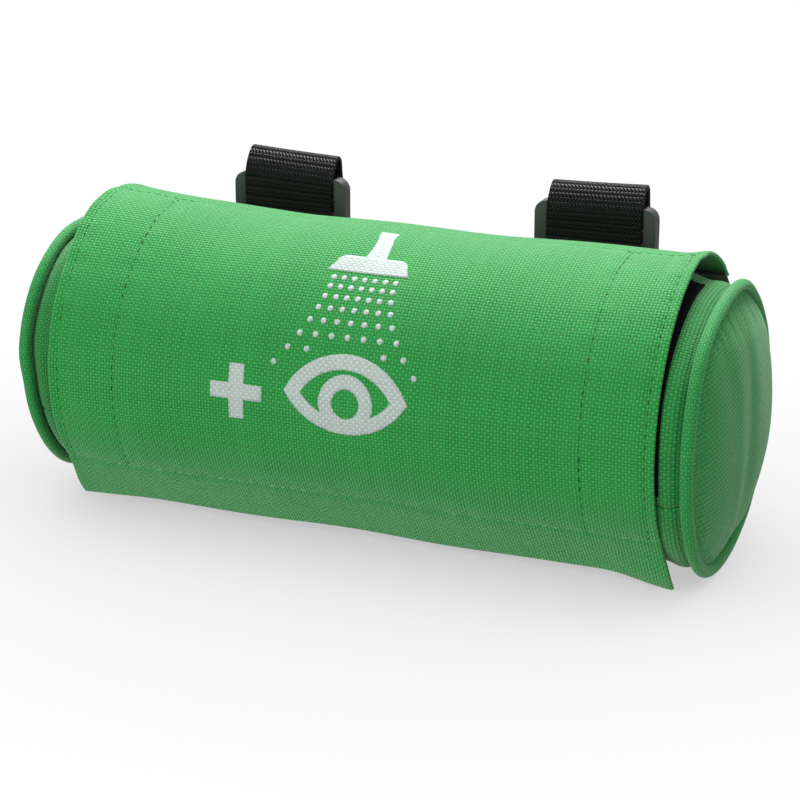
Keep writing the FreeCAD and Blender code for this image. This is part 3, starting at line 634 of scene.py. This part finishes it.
def make_flap_stitches():
    fine = 0.5
    surface_lift = FLAP_THICK / 2 - 0.08
    tracks = [surface_track(flap_middle, column, np.arange(HEM_S, TOP_ROW_S, fine), surface_lift)
              for column in SIDE_ROWS]
    for first, last in ((LEFT_OUTER_ROW, LEFT_INNER_ROW + 6), (RIGHT_INNER_ROW - 3, RIGHT_OUTER_ROW)):
        tracks.append(surface_track(flap_middle, np.arange(first, last, fine), TOP_ROW_S, surface_lift))
    dark = stitches("flap_side_stitches", tracks, "dark_thread", radius=0.24, lift=0.05)
    hem_line = np.arange(LEFT_OUTER_ROW, RIGHT_OUTER_ROW, fine)
    hem = stitches("flap_hem_stitches", [surface_track(flap_middle, hem_line, HEM_S, surface_lift)],
                   "green_thread", pitch=3.6, radius=0.28, lift=0.2)
    attach(dark, "green_fabric", "flap")
    attach(hem, "green_fabric", "flap")


# ---- the printed sign: first-aid cross, eye and safety shower

SIGN_CROSS = (-31.2, 4.1)
SIGN_EYE = (5.3, 6.6)
SIGN_IRIS = (5.6, 4.6)
SHOWER_X = 3.9


def arc_between(left, right, rise, count=40):
    """Points of a circular arc from left to right that rises by rise in the middle."""
    left, right = np.array(left, float), np.array(right, float)
    half = np.linalg.norm(right - left) / 2
    radius = (half ** 2 + rise ** 2) / (2 * abs(rise))
    sweep = math.asin(min(1.0, half / radius))
    turn = np.linspace(-sweep, sweep, count)
    up = radius * (np.cos(turn) - math.cos(sweep)) * np.sign(rise)
    along = (np.sin(turn) / math.sin(sweep) + 1) / 2
    points = left + along[:, None] * (right - left)
    points[:, 1] += up
    return points


def almond(centre, half_width, top, bottom):
    left, right = (centre[0] - half_width, centre[1]), (centre[0] + half_width, centre[1])
    return np.concatenate([arc_between(left, right, top), arc_between(left, right, -bottom)[-2:0:-1]])


def circle(centre, radius, count=40):
    turn = np.linspace(0, math.tau, count, endpoint=False)
    return np.stack([centre[0] + radius * np.cos(turn), centre[1] + radius * np.sin(turn)], -1)


def inside(loop, points):
    """Which points lie inside a closed loop."""
    x, y = points[:, 0][:, None], points[:, 1][:, None]
    x1, y1 = loop[:, 0], loop[:, 1]
    x2, y2 = np.roll(x1, -1), np.roll(y1, -1)
    crossing = ((y1 > y) != (y2 > y)) & (x < (x2 - x1) * (y - y1) / np.where(y2 == y1, 1e-9, y2 - y1) + x1)
    return crossing.sum(axis=1) % 2 == 1


def sign_shapes():
    """Each shape is its outlines and a rule that tells which points are printed."""
    arm, half = 8.7, 2.5
    corners, cross = np.array([(-half, -arm), (half, -arm), (half, -half)]), []
    for _ in range(4):
        cross.extend(corners + SIGN_CROSS)
        corners = corners[:, ::-1] * (-1, 1)
    cross = np.array(cross)
    yield [cross], lambda points: inside(cross, points)

    lids, opening = almond(SIGN_EYE, 20.3, 12.9, 11.5), almond(SIGN_EYE, 14.8, 8.2, 7.2)
    iris, pupil = circle(SIGN_IRIS, 8.9, 56), circle(SIGN_IRIS, 4.5)
    yield [lids, opening, iris, pupil], lambda points: (
        inside(lids, points) & (~inside(opening, points) | inside(iris, points)) & ~inside(pupil, points))

    top, base = 53.6, 46.7
    shoulder = circle((0, 0), 3.4, 40)[:11]
    bell_right = shoulder + (SHOWER_X + 8.4, top - 3.4)
    bell_left = shoulder[::-1] * (-1, 1) + (SHOWER_X - 8.2, top - 3.4)
    head = np.concatenate([[(SHOWER_X - 13.4, base), (SHOWER_X + 13.6, base)], bell_right, bell_left])
    pipe = np.array([(SHOWER_X - 2.9, top - 1), (SHOWER_X + 3.8, top - 1), (SHOWER_X + 2.1, 68.7),
                     (SHOWER_X - 3.7, 68.7)])
    yield [head, pipe], lambda points: inside(head, points) | inside(pipe, points)

    for row in range(8):
        s = 44.1 - 3.3 * row - 0.127 * row ** 2
        reach = 10.15 + 12.9 * (row / 7) ** 2.4
        streams = range(-3, 4) if row < 6 else ((-3, -2, 2, 3) if row == 6 else (-3, 3))
        for stream in streams:
            dot = circle((SHOWER_X + reach * stream / 3, s), 0.95, 14)
            yield [dot], lambda points, dot=dot: inside(dot, points)


def make_sign():
    """The print is a thin film that follows the flap's surface."""
    all_points, all_faces, all_uv, first = [], [], [], 0
    film, bite = 0.09, 0.25
    for loops, printed in sign_shapes():
        low = np.min([loop.min(0) for loop in loops], axis=0)
        high = np.max([loop.max(0) for loop in loops], axis=0)
        fill = np.stack(np.meshgrid(np.arange(low[0] + 0.7, high[0], 1.3),
                                    np.arange(low[1] + 0.7, high[1], 1.3)), -1).reshape(-1, 2)
        corners, edges, count = [], [], 0
        for loop in loops:
            corners.append(loop)
            edges += [(count + k, count + (k + 1) % len(loop)) for k in range(len(loop))]
            count += len(loop)
        corners = np.concatenate(corners + [fill])
        flat, _, faces, _, _, _ = geometry.delaunay_2d_cdt([Vector(c) for c in corners], edges, [], 0, 1e-4)
        flat = np.array([tuple(point) for point in flat])
        faces = [list(face) for face in faces]
        middle = np.array([flat[face].mean(0) for face in faces])
        faces = [face for face, keep in zip(faces, printed(middle)) if keep]
        used = {}
        for face in faces:
            for a, b in zip(face, face[1:] + face[:1]):
                used[(a, b)] = used.get((a, b), 0) + 1
        rim = [(a, b) for (a, b) in used if (b, a) not in used]
        total = len(flat)
        upper, _ = surface_track(flap_middle, flat[:, 0], flat[:, 1], FLAP_THICK / 2 - 0.075 + film)
        lower, _ = surface_track(flap_middle, flat[:, 0], flat[:, 1], FLAP_THICK / 2 - bite)
        all_points += [upper, lower]
        all_uv += [flat * MM, flat * MM]
        all_faces += [[first + k for k in face] for face in faces]
        all_faces += [[first + total + k for k in reversed(face)] for face in faces]
        all_faces += [[first + a, first + total + a, first + total + b, first + b] for a, b in rim]
        first += 2 * total
    sign = build("sign_print", np.concatenate(all_points), all_faces, "print", np.concatenate(all_uv))
    remove_loose(sign)
    attach(sign, "green_fabric", "flap")


def remove_loose(piece):
    """Drops vertices that no face uses."""
    work = bmesh.new()
    work.from_mesh(piece.data)
    bmesh.ops.delete(work, geom=[point for point in work.verts if not point.link_faces], context="VERTS")
    work.to_mesh(piece.data)
    work.free()


# ---- under the flap

def make_under_flap():
    for side in ("left", "right"):
        low, high = span(f"{side}_hook_strip")
        x, angle = lattice(marks(low[0], high[0], 1.2, 0.4), np.radians(marks(*HOOK_SPAN, 1.3, 0.6)))
        middle = flap_middle(x, angle * FLAP_MID)
        normal = unit(about_axis(0 * x, angle, 1.0))
        strip = sheet(f"{side}_hook_tape", middle - normal * (FLAP_THICK / 2 + 0.42), 0.75,
                      (x, angle * FLAP_MID), "hook", 0.35)
        attach(strip, "hook_and_loop", "flap", f"{side}_hook_strip")

        low, high = span(f"{side}_loop_strip")
        x, angle = lattice(marks(low[0], high[0], 1.2, 0.4), np.radians(marks(*LOOP_SPAN, 1.3, 0.6)))
        middle = settle(about_axis(x, angle, wall_radius(x, angle) + WALL_THICK / 2 + 0.5))
        strip = sheet(f"{side}_loop_tape", middle, 0.85, (x, angle * WALL_OUTER), "loop", 0.35)
        attach(strip, "hook_and_loop", "root", f"{side}_loop_strip")
        flatten_with_bottle(strip)

    low, high = span("flap_lining")
    x, angle = lattice(marks(low[0], high[0], 2.0, 0.4), np.radians(marks(*LINING_SPAN, 1.6, 0.5)))
    middle = flap_middle(x, angle * FLAP_MID) - unit(about_axis(0 * x, angle, 1.0)) * (FLAP_THICK / 2 + 0.27)
    lining = sheet("flap_lining_cloth", middle, 0.45, (x, angle * FLAP_MID), "lining", 0.3)
    attach(lining, "lining", "flap", "flap_lining")


# ---- the bag's wall

def flatten_with_bottle(piece):
    """Gives the piece its own copy of its mesh; the end bands give way inwards when the bottle is lifted out
    past them, but that is not shaped here.
    """
    middle = (SEAM_FRONT + SEAM_BACK) / 2
    outward = about_axis(0, middle, 1.0)
    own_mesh(piece)


def wall_radius(x, angle):
    """Middle of the padded wall: puffed just inside each end, tucked in where it meets the piping, and
    with the padding's own slight unevenness between."""
    reach = np.abs(x)
    puff = 1.1 * bell(reach - 104.4, 2.6) + 0.25 * np.sin(angle * 7 + x / 9) * bell(reach - 104.5, 5)
    tuck = (PIPING_RING - CORD - WALL_OUTER - 0.2) * smooth((reach - 106.8) / 2.2)
    pad = 0.22 * np.sin(x / 13.0 + angle * 2.3) + 0.15 * np.sin(x / 6.1 - angle * 5.1)
    return WALL_OUTER - WALL_THICK / 2 + puff + tuck + pad * smooth((WALL_HALF - reach) / 12)


def wall_sheet(name, low_x, high_x, low_angle, high_angle, step):
    xs = marks(low_x, high_x, step, 1.0)
    angles = marks(low_angle * WALL_OUTER, high_angle * WALL_OUTER, step, 1.0) / WALL_OUTER
    x, angle = lattice(xs, angles)
    middle = settle(about_axis(x, angle, wall_radius(x, angle)))
    return sheet(name, middle, WALL_THICK - 0.1, (x, angle * WALL_OUTER), "wall", 1.1)


def make_wall():
    gap = 0.1 / WALL_OUTER
    sewn_in = WALL_HALF + 1.2
    panel = wall_sheet("bag_wall", -sewn_in, sewn_in, SEAM_BACK, SEAM_FRONT + math.tau, 1.5)
    attach(panel, "green_fabric", "root", "bag_panel")
    for side, sign in (("left", -1), ("right", 1)):
        low, high = sorted((sign * MOUTH_HALF, sign * sewn_in))
        band = wall_sheet(f"{side}_band_cloth", low, high, SEAM_FRONT + gap, SEAM_BACK - gap, 1.0)
        attach(band, "green_fabric", "root", f"{side}_end_band")
        flatten_with_bottle(band)
    make_lip_bindings()
    make_seam_tape()


def make_lip_bindings():
    for name in ("front", "back"):
        low, high = span(f"{name}_lip_binding")
        seam = SEAM_FRONT if name == "front" else SEAM_BACK
        inward = 1 if name == "front" else -1
        turn = np.linspace(0, math.tau, 20, endpoint=False)
        xs = marks(low[0], high[0], 1.5, 0.5)
        from_end = np.minimum(xs - xs[0], xs[-1] - xs) / 0.5
        taper = np.sqrt(1 - (1 - np.clip(from_end, 0, 1)) ** 2) * 0.98 + 0.02
        squarish = np.sign(np.cos(turn)) * np.abs(np.cos(turn)) ** 0.7
        radius = WALL_OUTER - WALL_THICK / 2 + 1.42 * np.outer(taper, squarish)
        angle = seam + inward * (0.78 + 0.62 * np.outer(taper, np.sin(turn))) / WALL_OUTER
        angle = angle + 0.2 / WALL_OUTER * np.sin(xs / 8.0)[:, None]
        points = about_axis(xs[:, None], angle, radius)
        faces = tube_faces(np.arange(points[..., 0].size).reshape(len(xs), len(turn)))
        uv = np.stack([xs[:, None] + 0 * turn, 2 * turn + 0 * xs[:, None]], -1) * MM
        binding = build(f"{name}_lip_tape", points, faces, "tape", uv,
                        np.array([1e3, 2 * math.tau * MM]))
        attach(binding, "black_tape", "root", f"{name}_lip_binding")


def make_seam_tape():
    low, high = span("flap_seam_tape")
    x, angle = lattice(marks(low[0], high[0], 1.5, 0.5), np.radians(marks(*SEAM_TAPE_SPAN, 1.0, 0.6)))
    middle = about_axis(x, angle, WALL_OUTER + 0.7 + 0.08 * np.sin(x / 3.3))
    tape = sheet("flap_root_tape", middle, 1.1, (x, angle * WALL_OUTER), "tape", 0.5)
    attach(tape, "black_tape", "root", "flap_seam_tape")
    line = np.arange(low[0] + 2, high[0] - 2, 0.5)
    track = about_axis(line, math.radians(SEAM_TAPE_ROW), WALL_OUTER + 1.2)
    sewing = stitches("flap_root_stitches", [(track, unit(track * (0, 1, 1)))], "black_thread")
    attach(sewing, "black_tape", "root")


def make_ends():
    for side, sign in (("left", -1), ("right", 1)):
        make_end_panel(side, sign)
        make_piping(side, sign)


def make_end_panel(side, sign):
    """A round of cloth sewn in at its rim; it bulges, with folds from the sewing."""
    sewn_under, count = 1.3, 81
    rim, rim_x = PIPING_RING - sewn_under, PIPING_X - sewn_under
    across, up = np.meshgrid(np.linspace(-1, 1, count), np.linspace(-1, 1, count), indexing="ij")
    y = sign * rim * across * np.sqrt(1 - up ** 2 / 2)
    z = rim * up * np.sqrt(1 - across ** 2 / 2)
    share = np.clip(np.hypot(y, z) / rim, 0, 1)
    angle = np.arctan2(z, y)
    bulge = (PANEL_CROWN - rim_x - 1.4) * (1 - share ** 2.6)
    bulge = bulge + 1.1 * bell(y * sign - 24, 15) * bell(z + 13, 20) * (1 - share ** 6)
    gathers = 0.3 * np.sin(angle * 19 + 1.7 * np.sin(angle * 3)) * share ** 8 * (1 - share ** 40)
    middle = settle(np.stack([sign * (rim_x + bulge + gathers), y, z], -1))
    flat = settle(np.stack([sign * (rim_x + 0.25 * bulge + 3 * gathers), y, z], -1))
    middle = blown_end(flat, middle, share > 0.999, sign)
    folds = 0.55 * bell(y * sign + 13 + z * 0.12, 4.5) - 0.5 * bell(y * sign + 3 + z * 0.08, 4.0)
    folds = (folds + 0.3 * np.sin(y / 4.9 + z / 21.0 + sign)) * (1 - share ** 4)
    middle[..., 0] += sign * folds
    panel = sheet(f"{side}_end_cloth", middle, 1.2, (y, z), "panel", 0.5)
    attach(panel, "green_fabric", "root", f"{side}_end_panel")


def blown_end(flat, shaped, held, sign):
    """The end cloth as it settles when pushed out from inside, but no further than limit from shaped."""
    push, limit = sign * 60.0, 1.3
    blown = drape(flat, held, (push, 0, 0), spare=0.035)
    return shaped + np.clip(blown - shaped, -limit, limit)


def make_piping(side, sign):
    """Cloth-covered cord, very slightly uneven."""
    turn = np.linspace(0, math.tau, 360, endpoint=False)
    round_cord = np.linspace(0, math.tau, 28, endpoint=False)
    ring = PIPING_RING + 0.22 * np.sin(turn * 3 + sign) + 0.12 * np.sin(turn * 7 + 2)
    cord = CORD * (1 + 0.012 * np.sin(turn * 11) + 0.01 * np.sin(turn * 17 + 1))
    middle_x = PIPING_X + 0.18 * np.sin(turn * 4 + 1)
    radius = ring[:, None] + cord[:, None] * np.cos(round_cord)
    x = sign * (middle_x[:, None] + cord[:, None] * np.sin(round_cord))
    points = settle(about_axis(x, turn[:, None], radius))
    index = np.arange(points[..., 0].size).reshape(len(turn), len(round_cord))
    index = np.concatenate([index, index[:, :1]], axis=1)
    index = np.concatenate([index, index[:1]], axis=0)
    turn_uv = np.array([280.0, 16.0])
    uv = np.stack(np.broadcast_arrays(turn[:, None], round_cord[None, :]), -1) / math.tau * turn_uv
    faces = grid_faces(index)
    if sign > 0:
        faces = faces[:, ::-1]
    piping = build(f"{side}_piping_cord", points, faces, "piping", uv * MM, turn_uv * MM)
    attach(piping, "green_piping", "root", f"{side}_piping")


# ---- straps and buckles

def trace(start, heading, moves, step=0.6):
    """A path in the y-z plane: ("line", length) or ("arc", radius, degrees), positive to the left."""
    position, angle = np.array(start, float), math.radians(heading)
    points = [position.copy()]
    for kind, *values in moves:
        if kind == "line":
            count = max(1, int(values[0] / step))
            for _ in range(count):
                position = position + values[0] / count * np.array([math.cos(angle), math.sin(angle)])
                points.append(position.copy())
        else:
            radius, degrees = values
            turn = math.radians(degrees)
            count = max(2, int(radius * abs(turn) / step))
            side = math.copysign(1, turn)
            centre = position + side * radius * np.array([-math.sin(angle), math.cos(angle)])
            for _ in range(count):
                angle += turn / count
                position = centre + side * radius * np.array([math.sin(angle), -math.cos(angle)])
                points.append(position.copy())
    return np.array(points), math.degrees(angle)


def web_sheet(name, path, middle_x, width, thickness=1.5, wave=0.12, twist=0.0, rise=0.0, rise_from=0.0):
    """Webbing laid along a path in the y-z plane; above rise_from it can twist and rise a little."""
    across = marks(-width / 2, width / 2, 1.6, 0.5)
    length = np.r_[0, np.cumsum(np.linalg.norm(np.diff(path, axis=0), axis=1))]
    ahead = unit(np.gradient(path, axis=0))
    out = np.stack([-ahead[:, 1], ahead[:, 0]], -1)
    crown = wave * np.sin(length[None, :] / 7.0 + 1.0) * np.cos(across[:, None] / width * math.pi)
    y = path[:, 0] + out[:, 0] * crown
    lifted = smooth((path[:, 1] - rise_from) / 14)
    z = path[:, 1] + out[:, 1] * crown + (rise + twist * across[:, None]) * lifted
    x = middle_x + across[:, None] * (1 + 0.006 * np.sin(length / 11)) + 0 * length
    return sheet(name, np.stack([x, y, z], -1), thickness, lattice(across, length), "webbing", 0.55)


WEB_THICK = 1.6
BAR_DROP = 4.6                              # latch's webbing bar, below the latch's shoulders
TWIST = {"left": -0.05, "right": 0.028}     # slope of each top fold across its webbing
RISE = {"left": 0.3, "right": -1.0}         # how much higher each top fold stands


def make_straps():
    for side in ("left", "right"):
        make_strap(side)
        make_bar_loop(side)
        make_anchor_patch(side)
        make_socket_tab(side)
        for node, width in ((f"{side}_buckle_latch", 0.9), (f"{side}_buckle_socket", 0.7)):
            soften(node, width, "buckle")


def strap_places(side):
    low, high = span(f"{side}_belt_strap")
    latch_low, latch_high = span(f"{side}_buckle_latch")
    bar = np.array([(latch_low[1] + latch_high[1]) / 2, latch_high[2] - BAR_DROP])
    return low, high, (low[0] + high[0]) / 2, bar


def make_strap(side):
    """One length of webbing: its free end in front of the latch, over the top fold, down behind the
    belt, round the lower bend and on to the patch that is sewn to the bag."""
    low, high, middle, bar = strap_places(side)
    anchor_low = span(f"{side}_strap_anchor")[0]
    front, leg = low[1] + WEB_THICK / 2, high[1] - WEB_THICK / 2
    free_end = span(f"{side}_buckle_socket")[1][2] + 1.6
    # the top fold leans back, turns over tightly and comes down on a slope to the outer leg
    lean, shoulder, tip, last = 52.0, 12.5, 2.3, 12.0
    moves = [("line", bar[1] + 1.0 - free_end), ("arc", shoulder, -lean), ("arc", tip, -(172 - lean)),
             ("line", 3.0), ("arc", 16, 12)]
    path, heading = trace((front, free_end), 90, moves)
    slope = math.radians(heading)
    reach = (leg - path[-1][0] - last * (1 + math.sin(slope))) / math.cos(slope)
    path, _ = trace((front, free_end), 90, moves + [("line", reach), ("arc", last, -90 - heading)])
    # the lower bend turns in under the bag and runs on to the round that it is sewn to
    bend, turn_in, level = 6.4, 4.0, anchor_low[2] + 4.7
    sewn = WALL_OUTER + 1.5 * WEB_THICK + 0.1
    turn_y = math.sqrt((sewn + turn_in) ** 2 - (level - turn_in) ** 2)
    turn = 90 - math.degrees(math.atan2(turn_in - level, turn_y))
    lower, _ = trace(path[-1], -90, [
        ("line", path[-1][1] - level - bend), ("arc", bend, -90), ("line", leg - bend - turn_y),
        ("arc", turn_in, turn), ("arc", sewn, -9)])
    path = np.concatenate([path, lower[1:]])
    strap = web_sheet(f"{side}_strap_webbing", path, middle, high[0] - low[0] + 0.2, twist=TWIST[side],
                      rise=RISE[side], rise_from=bar[1] - 8)
    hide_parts(f"{side}_belt_strap", f"{side}_strap_anchor")
    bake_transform(strap)


def make_bar_loop(side):
    """The inner ply, round the latch's bar."""
    low, high, middle, bar = strap_places(side)
    around = bar[0] - low[1] - WEB_THICK / 2 - 0.15
    path, _ = trace((bar[0] - around, bar[1]), 90, [("arc", around, -350)], step=0.45)
    loop = web_sheet(f"{side}_bar_webbing", path, middle, high[0] - low[0] - 0.8, WEB_THICK - 0.15, wave=0)
    attach(loop, "webbing", f"{side}_latch")


def make_anchor_patch(side):
    _, _, middle, _ = strap_places(side)
    reach, start, stop = 18.0, math.radians(ANCHOR_SPAN[0]), math.radians(ANCHOR_SPAN[1])
    radius = WALL_OUTER + 0.05 + WEB_THICK / 2
    x, angle = lattice(marks(middle - reach, middle + reach, 1.5, 0.5),
                       marks(start * radius, stop * radius, 1.0, 0.5) / radius)
    patch = sheet(f"{side}_anchor_patch", about_axis(x, angle, radius), WEB_THICK - 0.1,
                  (x, angle * radius), "tape", 0.5)
    attach(patch, "webbing", "root")
    inset, top = 2.6, radius + WEB_THICK / 2
    box = [(middle - reach + inset, start * top + inset), (middle + reach - inset, start * top + inset),
           (middle + reach - inset, stop * top - inset), (middle - reach + inset, stop * top - inset)]
    tracks = [round_track(a, b, top) for a, b in zip(box, box[1:] + box[:1])]
    sewing = stitches(f"{side}_anchor_stitches", tracks, "black_thread", radius=0.3)
    attach(sewing, "webbing", "root")


def round_track(first, last, radius):
    """A straight line of sewing on the round wall, between two (x, s) places."""
    count = max(2, int(math.dist(first, last) / 0.5))
    x, s = np.linspace(first[0], last[0], count), np.linspace(first[1], last[1], count)
    points = about_axis(x, s / radius, radius)
    return points, unit(points * (0, 1, 1))


def make_socket_tab(side):
    """Short webbing from the bag up and round the socket's lower bar."""
    tab_low, tab_high = span(f"{side}_socket_tab")
    _, _, middle, bar = strap_places(side)
    radius = WALL_OUTER + 0.05 + WEB_THICK / 2
    bar_z = tab_high[2] - (tab_high[1] - bar[0])
    around = tab_high[1] - bar[0] - WEB_THICK / 2
    start, leave = math.radians(-22), -7.0
    path, _ = trace((radius * math.cos(start), radius * math.sin(start)), 68,
                    [("arc", radius, leave + 22)])
    rise = bar_z - path[-1][1]
    steps = smooth(np.linspace(0, 1, 14))[1:]
    climb = np.stack([path[-1][0] + (bar[0] - around - path[-1][0]) * steps,
                      path[-1][1] + rise * np.linspace(0, 1, 14)[1:]], -1)
    loop, _ = trace((bar[0] - around, bar_z), 90, [("arc", around, -335)], step=0.45)
    path = np.concatenate([path, climb, loop[1:]])
    width = tab_high[0] - tab_low[0] - 0.4
    tab = web_sheet(f"{side}_tab_webbing", path, middle, width, WEB_THICK - 0.1, wave=0)
    attach(tab, "webbing", "root", f"{side}_socket_tab")
    top = radius + WEB_THICK / 2
    rows, half_row = [math.radians(angle) * top for angle in TAB_ROWS], 13
    tracks = [round_track((middle - half_row, s), (middle + half_row, s), top) for s in rows]
    sewing = stitches(f"{side}_tab_stitches", tracks, "black_thread", radius=0.3)
    attach(sewing, "webbing", "root")


def soften(node, width, material, angle=32):
    """A CAD part with its sharp edges rounded, in its own material."""
    piece = NODES[node]
    finish_node(node, material)
    weld = piece.modifiers.new("weld", "WELD")
    weld.merge_threshold = 0.01 * MM
    bevel = piece.modifiers.new("round", "BEVEL")
    bevel.width, bevel.segments, bevel.angle_limit = width * MM, 3, math.radians(angle)
    bevel.use_clamp_overlap = True
    bevel.harden_normals = True


def finish_node(node, material):
    piece = NODES[node]
    piece.data.materials.clear()
    piece.data.materials.append(MATERIALS[material])


def make_bottle():
    MATERIALS["label"] = label_material()
    finish_node("saline_fill", "saline")
    finish_node("bottle_label", "label")
    finish_node("sealing_ring", "seal")
    for node, width, material in (("bottle", 1.6, "bottle"), ("screw_collar", 0.8, "collar"),
                                  ("spray_plate", 0.3, "collar"), ("eye_cup", 0.6, "cup"),
                                  ("dust_cap", 1.2, "cap")):
        soften(node, width, material)


def label_material():
    """A plain label: white, with a green band at each end and a white cross on a green field."""
    tree = Tree("label_paper")
    low, high = span("bottle_label")
    centre = ((low + high) / 2 * MM + AXIS).tolist()
    place = tree.place()
    x, y, z = (tree.node("ShaderNodeSeparateXYZ", {0: place}, output=axis) for axis in range(3))
    along = tree.minus(x, centre[0])
    turn = tree.calc("ARCTAN2", tree.minus(z, centre[2]), tree.minus(centre[1], y))
    radius = (high[2] - low[2]) / 2 * MM
    around = tree.times(tree.minus(turn, math.radians(62)), radius)
    along, around = tree.calc("ABSOLUTE", along), tree.calc("ABSOLUTE", around)
    half = (high[0] - low[0]) / 2 * MM
    bands = tree.calc("GREATER_THAN", along, half - 9 * MM)
    field = tree.calc("LESS_THAN", tree.calc("MAXIMUM", along, around), 17 * MM)
    arm, reach = 3.6 * MM, 11 * MM
    narrow = tree.calc("LESS_THAN", tree.calc("MINIMUM", along, around), arm)
    short = tree.calc("LESS_THAN", tree.calc("MAXIMUM", along, around), reach)
    cross = tree.times(narrow, short)
    green = tree.minus(tree.calc("MAXIMUM", bands, field), cross)
    fibres = tree.noise(900.0, 3.0, place)
    shade = tree.mix(green, colour(232, 234, 230), colour(28, 120, 70))
    shade = tree.mix(tree.times(fibres, 0.12), shade, colour(190, 196, 190))
    return tree.finish(Base_Color=shade, Roughness=tree.scaled(fibres, 0.2, 0.32),
                       Normal=tree.bump(fibres, 0.01 * MM))


make_flap()
make_flap_stitches()
make_sign()
make_under_flap()
make_wall()
make_ends()
make_straps()
make_bottle()


# ---- stage, light and camera

def make_stage():
    height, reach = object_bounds()[0].z, 4.0
    mesh = bpy.data.meshes.new("floor")
    corners = [(x * reach, y * reach, height) for x, y in ((-1, -1), (1, -1), (1, 1), (-1, 1))]
    mesh.from_pydata(corners, [], [(0, 1, 2, 3)])
    floor = link(bpy.data.objects.new("floor", mesh))
    mesh.materials.append(floor_material())


def floor_material():
    """White paper: a glowing surface, evenly bright to the camera, with a painted soft contact shadow, and a
    dim glow to the object that stands in for the light the paper throws back.
    """
    tree = Tree("pale_floor")
    open_sky = tree.node("ShaderNodeAmbientOcclusion", {"Distance": 0.16}, output=1)
    # painted contact shadow: the glow is darker where the object closes off the open sky
    shade = tree.mix(open_sky, (0.5, 0.5, 0.5, 1.0), (1.0, 1.0, 1.0, 1.0))
    seen = tree.node("ShaderNodeLightPath", {})
    # to the object the floor glows a flat grey, a painted stand-in for its bounce light
    glow = tree.node("ShaderNodeEmission", {"Color": tree.mix(seen, (0.45, 0.45, 0.45, 1.0), shade)})
    tree.links.new(glow, tree.nodes["Material Output"].inputs["Surface"])
    return tree.material


def area_light(name, offset, size, power):
    """A round soft light, offset from the bag's middle and turned to it."""
    position = AXIS + offset
    data = bpy.data.lights.new(name, "AREA")
    data.shape, data.size, data.energy = "DISK", size, power
    light = link(bpy.data.objects.new(name, data))
    light.location = position
    light.rotation_euler = (Vector(AXIS) - Vector(position)).to_track_quat("-Z", "Y").to_euler()


def make_light():
    world = bpy.data.worlds.new("studio")
    bpy.context.scene.world = world
    world.use_nodes = True
    nodes, links = world.node_tree.nodes, world.node_tree.links
    seen = nodes.new("ShaderNodeLightPath")
    backdrop = nodes["Background"]
    backdrop.inputs["Color"].default_value = (1.0, 1.0, 1.0, 1.0)
    strength = nodes.new("ShaderNodeMapRange")
    links.new(seen.outputs["Is Camera Ray"], strength.inputs["Value"])
    strength.inputs["To Min"].default_value = 0.42
    strength.inputs["To Max"].default_value = 1.0
    links.new(strength.outputs["Result"], backdrop.inputs["Strength"])
    area_light("top_softbox", (-0.1, 0.55, 0.85), size=0.8, power=17.0)
    area_light("front_softbox", (-0.45, -1.1, 0.36), size=1.0, power=7.6)
    area_light("side_softbox", (1.0, -0.5, 0.6), size=0.6, power=1.6)


def make_camera():
    """The photograph's viewing angle."""
    azimuth, elevation, distance = math.radians(22.525), math.radians(17.878), 0.7504
    back = np.array([math.sin(azimuth) * math.cos(elevation), -math.cos(azimuth) * math.cos(elevation),
                     math.sin(elevation)])
    data = bpy.data.cameras.new("camera")
    data.lens, data.shift_x, data.shift_y = 105.66, 0.01446, -0.0334
    camera = link(bpy.data.objects.new("camera", data))
    camera.location = AXIS + back * distance
    camera.rotation_euler = Vector(-back).to_track_quat("-Z", "Y").to_euler()
    bpy.context.scene.camera = camera


make_stage()
make_light()
make_camera()
bpy.context.scene.view_settings.view_transform = "Standard"
